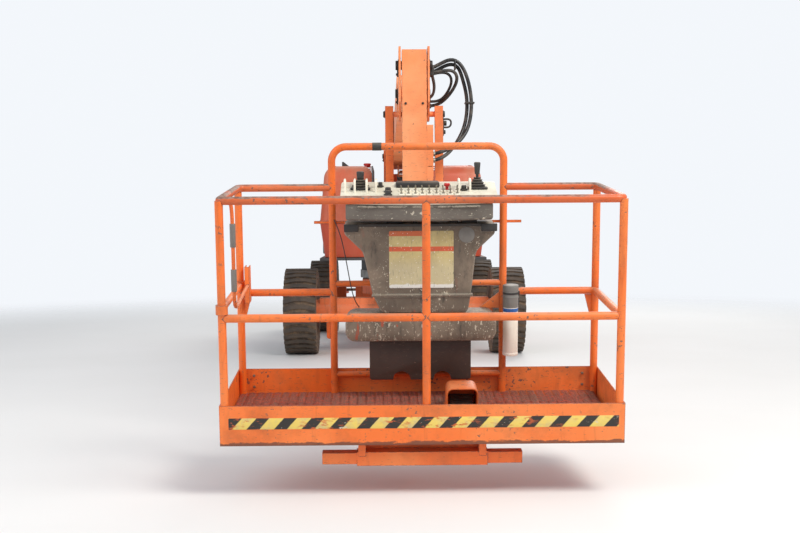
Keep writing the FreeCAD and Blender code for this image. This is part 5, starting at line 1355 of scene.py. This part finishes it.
# Jib: bolts in its face, a cover strip, pin heads and the black lamp bracket on the right level link
jibFacts = {
    "bolts": (-0.049, 0.047), "boltRows": (1.940, 1.30),
    "strip": (
        (0.0685, -3.1335), (0.104, -3.1335), (0.104, -3.104), (0.101, -3.104), (0.101, -3.1305),
        (0.0685, -3.1305),
    ),
    "stripUpper": (1.690, 1.820), "stripLower": (1.230, 1.590),
    "stripMiddle": ((0.0685, -3.1335, 1.585), (0.104, -3.1305, 1.695)),
    "cover": ((-0.060, -3.1355, 1.02), (0.060, -3.1310, 1.16)), "coverBolts": (-0.045, 0.045),
    "coverRows": (1.035, 1.145),
}
lampFacts = {
    "plate": ((0.1645, -3.006, 1.770), (0.1705, -2.974, 1.868)), "loopY": -3.000, "loopRadius": 0.0055,
    "loop": (
        (0.168, 1.862), (0.185, 1.864), (0.204, 1.862), (0.211, 1.850),
        (0.211, 1.834), (0.206, 1.822), (0.192, 1.814), (0.170, 1.816),
    ),
    "body": ((0.168, -2.992, 1.840), (0.186, -2.992, 1.840)), "bodyRadius": 0.015,
    "lower": ((0.168, -2.990, 1.790), (0.180, -2.990, 1.790)), "lowerRadius": 0.012,
}


def makeJibThings(facts):
    bolts = [
        softRod("jibBolt", (x, -3.1305, z), (x, -3.1375, z), 0.0075, 0.0015, 6)
        for x in facts["bolts"] for z in facts["boltRows"]
    ]
    finishPiece(joinAll("jibBolts", bolts), "jib_boom", "darkSteel")
    upper = cutPlate("stripUpper", facts["strip"], "Z", *facts["stripUpper"], 0.0006)
    lower = cutPlate("stripLower", facts["strip"], "Z", *facts["stripLower"], 0.0006)
    middle = softBox("stripMiddle", *facts["stripMiddle"], 0.0006, 1)
    # the strip and the cover wear the jib's lighter orange, which is painted sunlight
    finishPiece(joinAll("jibStrip", [upper, lower, middle]), "jib_boom", "paintedSunlitOrange")
    cover = [softBox("jibFootPlate", *facts["cover"], 0.002, 2)]
    for x in facts["coverBolts"]:
        for z in facts["coverRows"]:
            cover.append(softRod("coverBolt", (x, -3.134, z), (x, -3.140, z), 0.006, 0.001, 6))
    finishPiece(joinAll("jibCover", cover), "jib_boom", "paintedSunlitOrange")


def makePinHeads(name, body, spots):
    # each spot: face x, way out, y, z, radius, reach; a washer, a head and a keeper plate with one bolt
    parts = []
    for face, way, y, z, radius, reach in spots:
        face += way * 0.0004
        parts.append(softRod("washer", (face, y, z), (face + way * 0.004, y, z), radius * 1.25, 0.001, 28))
        parts.append(softRod("head", (face, y, z), (face + way * reach, y, z), radius, 0.003, 28))
        if radius > 0.02:
            left, right = sorted((face, face + way * 0.009))
            low, top, bolt = z - radius * 2.4, z - radius * 0.7, z - radius * 1.9
            parts.append(softBox("keeper", (left, y - 0.009, low), (right, y + 0.009, top), 0.001, 1))
            parts.append(softRod(
                "keeperBolt", (face, y, bolt), (face + way * 0.015, y, bolt), 0.007, 0.001, 6
            ))
    finishPiece(joinAll(name, parts), body, "darkSteel")


def makeLampBracket(facts):
    # a short plate with a bent loop and a small dark lamp in it
    parts = [
        softBox("lampPlate", *facts["plate"], 0.001, 1),
        bentTube(
            "lampLoop", [(x, facts["loopY"], z) for x, z in facts["loop"]], facts["loopRadius"], sides=3
        ),
        softRod("lampBody", *facts["body"], facts["bodyRadius"], 0.003, 20),
        softRod("lampLower", *facts["lower"], facts["lowerRadius"], 0.003, 20),
    ]
    finishPiece(joinAll("lampBracket", parts), "level_links", "blackPlastic")


pinFacts = {
    # piece: its body, then face x, y, z, radius, reach of each pin, which shows on both sides
    "yokePins": ("nose_yoke", (
        (0.087, -3.0773, 2.158, 0.0265, 0.017), (0.087, -2.7173, 2.040, 0.0265, 0.017),
        (0.165, -2.9903, 1.892, 0.0175, 0.011),
    )),
    "bracketPins": (
        "jib_bracket", ((0.087, -3.0773, 0.908, 0.0265, 0.017), (0.165, -2.9903, 0.642, 0.0175, 0.011))
    ),
}
bossFacts = {
    # piece: its body, then y and z of the pins that end at the same face on both sides
    "uprightPins": ("upright", ((3.8027, 1.290), (3.6927, 1.526), (3.7427, 2.040), (3.5227, 1.660))),
    "mountPins": ("turntable", ((2.2027, 1.220), (2.0927, 1.456))),
    "face": 0.195, "radius": 0.0265, "reach": 0.016,
}
makeJibThings(jibFacts)
for name, (body, pins) in pinFacts.items():
    makePinHeads(name, body, [(side * x, side, *rest) for x, *rest in pins for side in (-1, 1)])
for name in ("uprightPins", "mountPins"):
    body, pins = bossFacts[name]
    face, size = bossFacts["face"], (bossFacts["radius"], bossFacts["reach"])
    makePinHeads(name, body, [(side * face, side, y, z, *size) for side in (-1, 1) for y, z in pins])
makeLampBracket(lampFacts)
print("jib and pins fitted")


# Hoods: a rounded cover over a skirt that narrows towards the deck
hoodFacts = {
    "inner": 0.306, "outer": 0.852, "front": 2.0735, "back": 3.3825, "low": 0.9265, "seamLow": 1.268,
    "seam": 1.296, "top": 1.856,
    "lean": 0.070, "sideLean": 0.050, "taper": 0.045, "skirtLean": 0.030, "skin": 0.006, "rimSkin": 0.016,
    "rimProud": 0.010,
    "corner": 0.070, "crown": 0.115, "rimCorner": 0.075, "skirtCorner": 0.062,
    "hingeZ": 1.850, "knuckles": (2.3430, 2.7830, 3.2430), "knuckleLong": 0.119, "leafWide": 0.06,
    "latches": (2.42, 3.04),
    "cap": (-0.362, 2.36), "finFront": 2.330, "finBack": 2.346,
    "finBase": ((-0.628, 2.315, 1.850), (-0.536, 2.361, 1.857)),
    "fin": (
        (-0.622, 1.851, 0), (-0.540, 1.851, 0), (-0.560, 1.868, 0.01), (-0.606, 1.905, 0.012),
        (-0.622, 1.905, 0.008),
    ),
}


def selectEdges(mesh, test):
    for edge in mesh.edges:
        edge.select = test(edge.verts[0].co, edge.verts[1].co)
    for edge in mesh.edges:
        if edge.select:
            edge.verts[0].select = True
            edge.verts[1].select = True


def roundEdges(piece, test, width, segments):
    choose(piece)
    bpy.ops.object.mode_set(mode="EDIT")
    bpy.ops.mesh.select_mode(type="EDGE")
    bpy.ops.mesh.select_all(action="DESELECT")
    mesh = bmesh.from_edit_mesh(piece.data)
    selectEdges(mesh, test)
    bmesh.update_edit_mesh(piece.data)
    bpy.ops.mesh.bevel(offset=width, segments=segments, affect="EDGES")
    bpy.ops.object.mode_set(mode="OBJECT")


def openShell(piece, test, skin):
    # the faces that the test names are taken away and the rest gets the skin's thickness
    choose(piece)
    bpy.ops.object.mode_set(mode="EDIT")
    mesh = bmesh.from_edit_mesh(piece.data)
    gone = [face for face in mesh.faces if test(face)]
    bmesh.ops.delete(mesh, geom=gone, context="FACES")
    bmesh.update_edit_mesh(piece.data)
    bpy.ops.object.mode_set(mode="OBJECT")
    wall = piece.modifiers.new("skin", "SOLIDIFY")
    wall.thickness = skin
    wall.offset = -1
    wall.use_even_offset = True
    choose(piece)
    bpy.ops.object.modifier_apply(modifier=wall.name)
    mergeAndTurn()


def makeHood(side, word, facts):
    inner, outer, seam, skin = facts["inner"], facts["outer"] - 0.010, facts["seam"], facts["skin"]
    front, back, proud = facts["front"], facts["back"], facts["rimProud"]
    left, right = sorted((side * inner, side * outer))

    def upright(a, b, rise):
        # an outer corner that runs up the hood
        return abs(a.z - b.z) > rise and abs(a.x) > 0.6 and abs(b.x) > 0.6

    def facesIn(face):
        return face.normal.x * side < -0.9

    cover = softBox("hoodCover", (left, front + 0.006, seam), (right, back - 0.006, facts["top"]), 0)
    # both ends lean in towards the top, the side a little
    for vert in cover.data.vertices:
        if vert.co.z > 1.5:
            vert.co.y += facts["lean"] * (1 if vert.co.y < 2.7 else -1)
            if abs(vert.co.x) > 0.6:
                vert.co.x -= side * facts["sideLean"]
    roundEdges(cover, lambda a, b: upright(a, b, 0.2), facts["corner"], 6)
    roundEdges(cover, lambda a, b: min(a.z, b.z) > 1.6, facts["crown"], 9)
    openShell(cover, lambda face: face.normal.z < -0.9 or facesIn(face), skin)
    rimLeft, rimRight = (left, right + proud) if side > 0 else (left - proud, right)
    rim = softBox("hoodRim", (rimLeft, front, facts["seamLow"]), (rimRight, back, seam), 0)
    roundEdges(rim, lambda a, b: upright(a, b, 0.01), facts["rimCorner"], 6)
    openShell(rim, lambda face: abs(face.normal.z) > 0.9 or facesIn(face), facts["rimSkin"])
    hinges = []
    x, z = side * inner, facts["hingeZ"]
    near, far = sorted((x, side * (inner + facts["leafWide"])))
    for start in facts["knuckles"]:
        end = start + facts["knuckleLong"]
        hinges.append(softRod("knuckle", (x, start, z), (x, end, z), 0.006, 0.001, 12))
        hinges.append(softBox("leaf", (near, start, z - 0.001), (far, end, z + 0.006), 0.001, 1))
    body = "hood_" + word
    piece = joinAll("hoodCover" + word.capitalize(), [cover, rim, *hinges])
    finishPiece(piece, body, "hoodOrange", replaces=(body,), angle=30)
    skirt = softBox(
        "skirt", (left, front + 0.010, facts["low"]), (right, back - 0.010, facts["seamLow"] + 0.004), 0
    )
    for vert in skirt.data.vertices:
        if vert.co.z < 1.1:
            vert.co.y += facts["skirtLean"] * (1 if vert.co.y < 2.7 else -1)
            if abs(vert.co.x) > 0.6:
                vert.co.x -= side * facts["taper"]
    roundEdges(skirt, lambda a, b: upright(a, b, 0.2), facts["skirtCorner"], 6)
    openShell(skirt, lambda face: abs(face.normal.z) > 0.9 or facesIn(face), skin)
    finishPiece(
        joinAll("hoodSkirt" + word.capitalize(), [skirt]), body, "skirtOrange", angle=30
    )
    latches = []
    face = side * (facts["outer"] + 0.0005)
    near, far = sorted((face - side * 0.012, face + side * 0.007))
    for y in facts["latches"]:
        latches.append(softBox("latchCup", (near, y - 0.035, 1.262), (far, y + 0.035, 1.304), 0.003, 2))
        latches.append(softRod(
            "latchKnob", (face, y, 1.283), (face + side * 0.014, y, 1.283), 0.011, 0.002, 20
        ))
    finishPiece(joinAll("hoodLatches" + word.capitalize(), latches), body, "blackPlastic")


def makeCapAndFin(facts):
    x, y = facts["cap"]
    cap = [
        softRod("capNeck", (x, y, 1.853), (x, y, 1.872), 0.032, 0.002, 28),
        softRod("capHead", (x, y, 1.868), (x, y, 1.888), 0.040, 0.006, 28, 0.036),
    ]
    finishPiece(joinAll("hoodCap", cap), "hood_left", "buttonRed")
    fin = cutPlate("hoodFin", roundedOutline(facts["fin"]), "Y", facts["finFront"], facts["finBack"], 0.003)
    base = softBox("finBase", *facts["finBase"], 0.002, 2)
    finishPiece(joinAll("hoodFin", [fin, base]), "hood_left", "blackPlastic")


for side, word in ((-1, "left"), (1, "right")):
    makeHood(side, word, hoodFacts)
makeCapAndFin(hoodFacts)
print("hoods dressed")

# Wheels: nuts round each dish, a hub cover and its small bolts
hubFacts = {
    "dish": 0.0555, "hub": 0.0885, "nuts": 9, "nutCircle": 0.138, "nutRadius": 0.0155, "studRadius": 0.008,
    "bolts": 8, "boltTurn": 20, "boltCircle": 0.060, "boltRadius": 0.0065, "plugRadius": 0.022,
}


def makeHub(wheel, centre, facts):
    side = 1 if centre[0] > 0 else -1
    x, y, z = centre
    dish, hub = x + side * facts["dish"], x + side * facts["hub"]

    def stub(name, face, place, inward, outward, radius, edge, sides):
        start, end = (face + side * inward, *place), (face + side * outward, *place)
        return softRod(name, start, end, radius, edge, sides)

    parts = []
    for number in range(facts["nuts"]):
        turn = math.radians(360 / facts["nuts"] * number)
        place = y + facts["nutCircle"] * math.cos(turn), z + facts["nutCircle"] * math.sin(turn)
        parts.append(stub("nut", dish, place, -0.001, 0.017, facts["nutRadius"], 0.002, 6))
        parts.append(stub("stud", dish, place, 0.015, 0.027, facts["studRadius"], 0.001, 10))
    for number in range(facts["bolts"]):
        turn = math.radians(360 / facts["bolts"] * number + facts["boltTurn"])
        place = y + facts["boltCircle"] * math.cos(turn), z + facts["boltCircle"] * math.sin(turn)
        parts.append(stub("hubBolt", hub, place, -0.001, 0.007, facts["boltRadius"], 0.001, 6))
    parts.append(stub("hubPlug", hub, (y, z), -0.001, 0.009, facts["plugRadius"], 0.003, 28))
    finishPiece(joinAll("wheelNuts_" + wheel, parts), "wheel_" + wheel, "darkSteel")
    valve = [
        softRod("valve", (dish, y + 0.172, z), (dish + side * 0.034, y + 0.176, z), 0.005, 0.001, 12),
        softRod(
            "valveCap", (dish + side * 0.030, y + 0.1755, z), (dish + side * 0.042, y + 0.177, z), 0.006,
            0.001, 12,
        ),
    ]
    finishPiece(joinAll("valve_" + wheel, valve), "wheel_" + wheel, "blackPlastic")


for wheel, centre in wheels.items():
    makeHub(wheel, centre, hubFacts)
print("hubs dressed")

# Tail: the counterweight's cast edges and its bolts
weightFacts = {
    "outline": (
        # across, depth, corner radius
        (-0.899, 3.6235, 0.012), (-0.241, 3.6235, 0.012), (-0.241, 4.042, 0.02), (0.241, 4.042, 0.02),
        (0.241, 3.6235, 0.012), (0.899, 3.6235, 0.012), (0.899, 4.222, 0.26), (-0.899, 4.222, 0.26),
    ),
    "low": 0.9205, "top": 1.699, "edge": 0.014, "face": 4.220, "bolts": (-0.42, 0.42),
    "boltRows": (1.08, 1.50),
    "washerRadius": 0.042, "boltRadius": 0.028, "eyes": (-0.62, 0.62), "eyeY": 3.90, "eyeRadius": 0.011,
    "eye": ((-0.05, 1.695), (-0.05, 1.735), (-0.03, 1.752), (0.03, 1.752), (0.05, 1.735), (0.05, 1.695)),
}
controlFacts = {
    "face": -0.812, "plate": ((3.436, 1.20), (3.570, 1.41)), "toggles": (3.462, 1.235),
    "acrossPitch": 0.040, "upPitch": 0.045,
    "key": (3.540, 1.385), "stop": (3.470, 1.385),
    "filler": ((0.680, 3.503, 1.429), (0.680, 3.503, 1.444)), "fillerRadius": 0.038,
    "glass": ((0.799, 3.480, 1.05), (0.805, 3.526, 1.20)),
}


def makeCounterweight(facts):
    body = cutPlate(
        "weightBody", roundedOutline(facts["outline"], 10), "Z", facts["low"], facts["top"], facts["edge"]
    )
    finishPiece(body, "turntable", "castGrey", replaces=("counterweight",))
    parts, face = [], facts["face"]
    for x in facts["bolts"]:
        for z in facts["boltRows"]:
            parts.append(softRod(
                "weightWasher", (x, face, z), (x, face + 0.008, z), facts["washerRadius"], 0.002, 28
            ))
            parts.append(softRod(
                "weightBolt", (x, face + 0.006, z), (x, face + 0.026, z), facts["boltRadius"], 0.003, 6
            ))
    for x in facts["eyes"]:
        route = [(x + reach, facts["eyeY"], z) for reach, z in facts["eye"]]
        parts.append(bentTube("liftEye", route, facts["eyeRadius"], sides=3))
    finishPiece(joinAll("weightBolts", parts), "turntable", "darkSteel")


def makeControls(facts):
    # lower controls on the left: a key, toggles and a stop button on the box's door
    face = facts["face"]

    def stub(name, place, inward, outward, radius, edge, sides, tip=None, rise=0):
        y, z = place
        return softRod(name, (face - inward, y, z), (face - outward, y, z + rise), radius, edge, sides, tip)

    low, top = facts["plate"]
    plate = softBox("controlFace", (face - 0.005, *low), (face + 0.002, *top), 0.002, 2)
    finishPiece(plate, "turntable", "panelCream")
    levers = []
    for row in range(3):
        for column in range(3):
            y, z = facts["toggles"]
            place = y + facts["acrossPitch"] * column, z + facts["upPitch"] * row
            levers.append(stub("collar", place, 0.004, 0.014, 0.007, 0.001, 12))
            levers.append(stub("lever", place, 0.012, 0.034, 0.003, 0.0008, 10, 0.004, 0.005))
    levers.append(stub("key", facts["key"], 0.004, 0.020, 0.009, 0.001, 16))
    finishPiece(joinAll("controlToggles", levers), "turntable", "boltZinc")
    stop = stub("controlStop", facts["stop"], 0.004, 0.030, 0.016, 0.004, 24, 0.018)
    finishPiece(stop, "turntable", "buttonRed")
    tank = [
        softRod("filler", *facts["filler"], facts["fillerRadius"], 0.004, 28),
        softBox("sightGlass", *facts["glass"], 0.003, 2),
    ]
    finishPiece(joinAll("tankFittings", tank), "turntable", "blackPlastic")


makeCounterweight(weightFacts)
makeControls(controlFacts)
print("tail dressed")

# Boom: dark wear pads at the mouth and the bolts that hold them
boomFacts = {
    "padFront": 0.2195, "padBack": 0.2245,
    # left and low, right and high of each pad
    "pads": (
        ((-0.082, 2.1712), (0.082, 2.1885)), ((-0.082, 1.8915), (0.082, 1.9088)),
        ((-0.1135, 1.94), (-0.0952, 2.14)), ((0.0952, 1.94), (0.1135, 2.14)),
    ),
    "boltRadius": 0.008, "mouthBolts": (0.240, 0.276), "sideRows": (1.955, 2.125),
    "tailBolts": (3.60, 3.66), "tailRow": 2.15,
}


def makeBoomThings(facts):
    front, back, radius = facts["padFront"], facts["padBack"], facts["boltRadius"]
    pads = [
        softBox("mouthPad", (x, front, z), (far, back, top), 0.001, 1)
        for (x, z), (far, top) in facts["pads"]
    ]
    finishPiece(joinAll("mouthPads", pads), "boom_base", "blackPlastic")
    bolts = []
    for side in (-1, 1):
        for y in facts["mouthBolts"]:
            for z in facts["sideRows"]:
                bolts.append(softRod(
                    "padBolt", (side * 0.1265, y, z), (side * 0.134, y, z), radius, 0.001, 6
                ))
            for start, end in ((2.2015, 2.209), (1.8785, 1.871)):
                bolts.append(softRod(
                    "padBolt", (side * 0.05, y, start), (side * 0.05, y, end), radius, 0.001, 6
                ))
    for side in (-1, 1):
        for y in facts["tailBolts"]:
            start, end = (side * 0.1145, y, facts["tailRow"]), (side * 0.121, y, facts["tailRow"])
            bolts.append(softRod("tailBolt", start, end, radius, 0.001, 6))
    finishPiece(joinAll("boomBolts", bolts), "boom_base", "boltZinc")


makeBoomThings(boomFacts)
print("boom dressed")
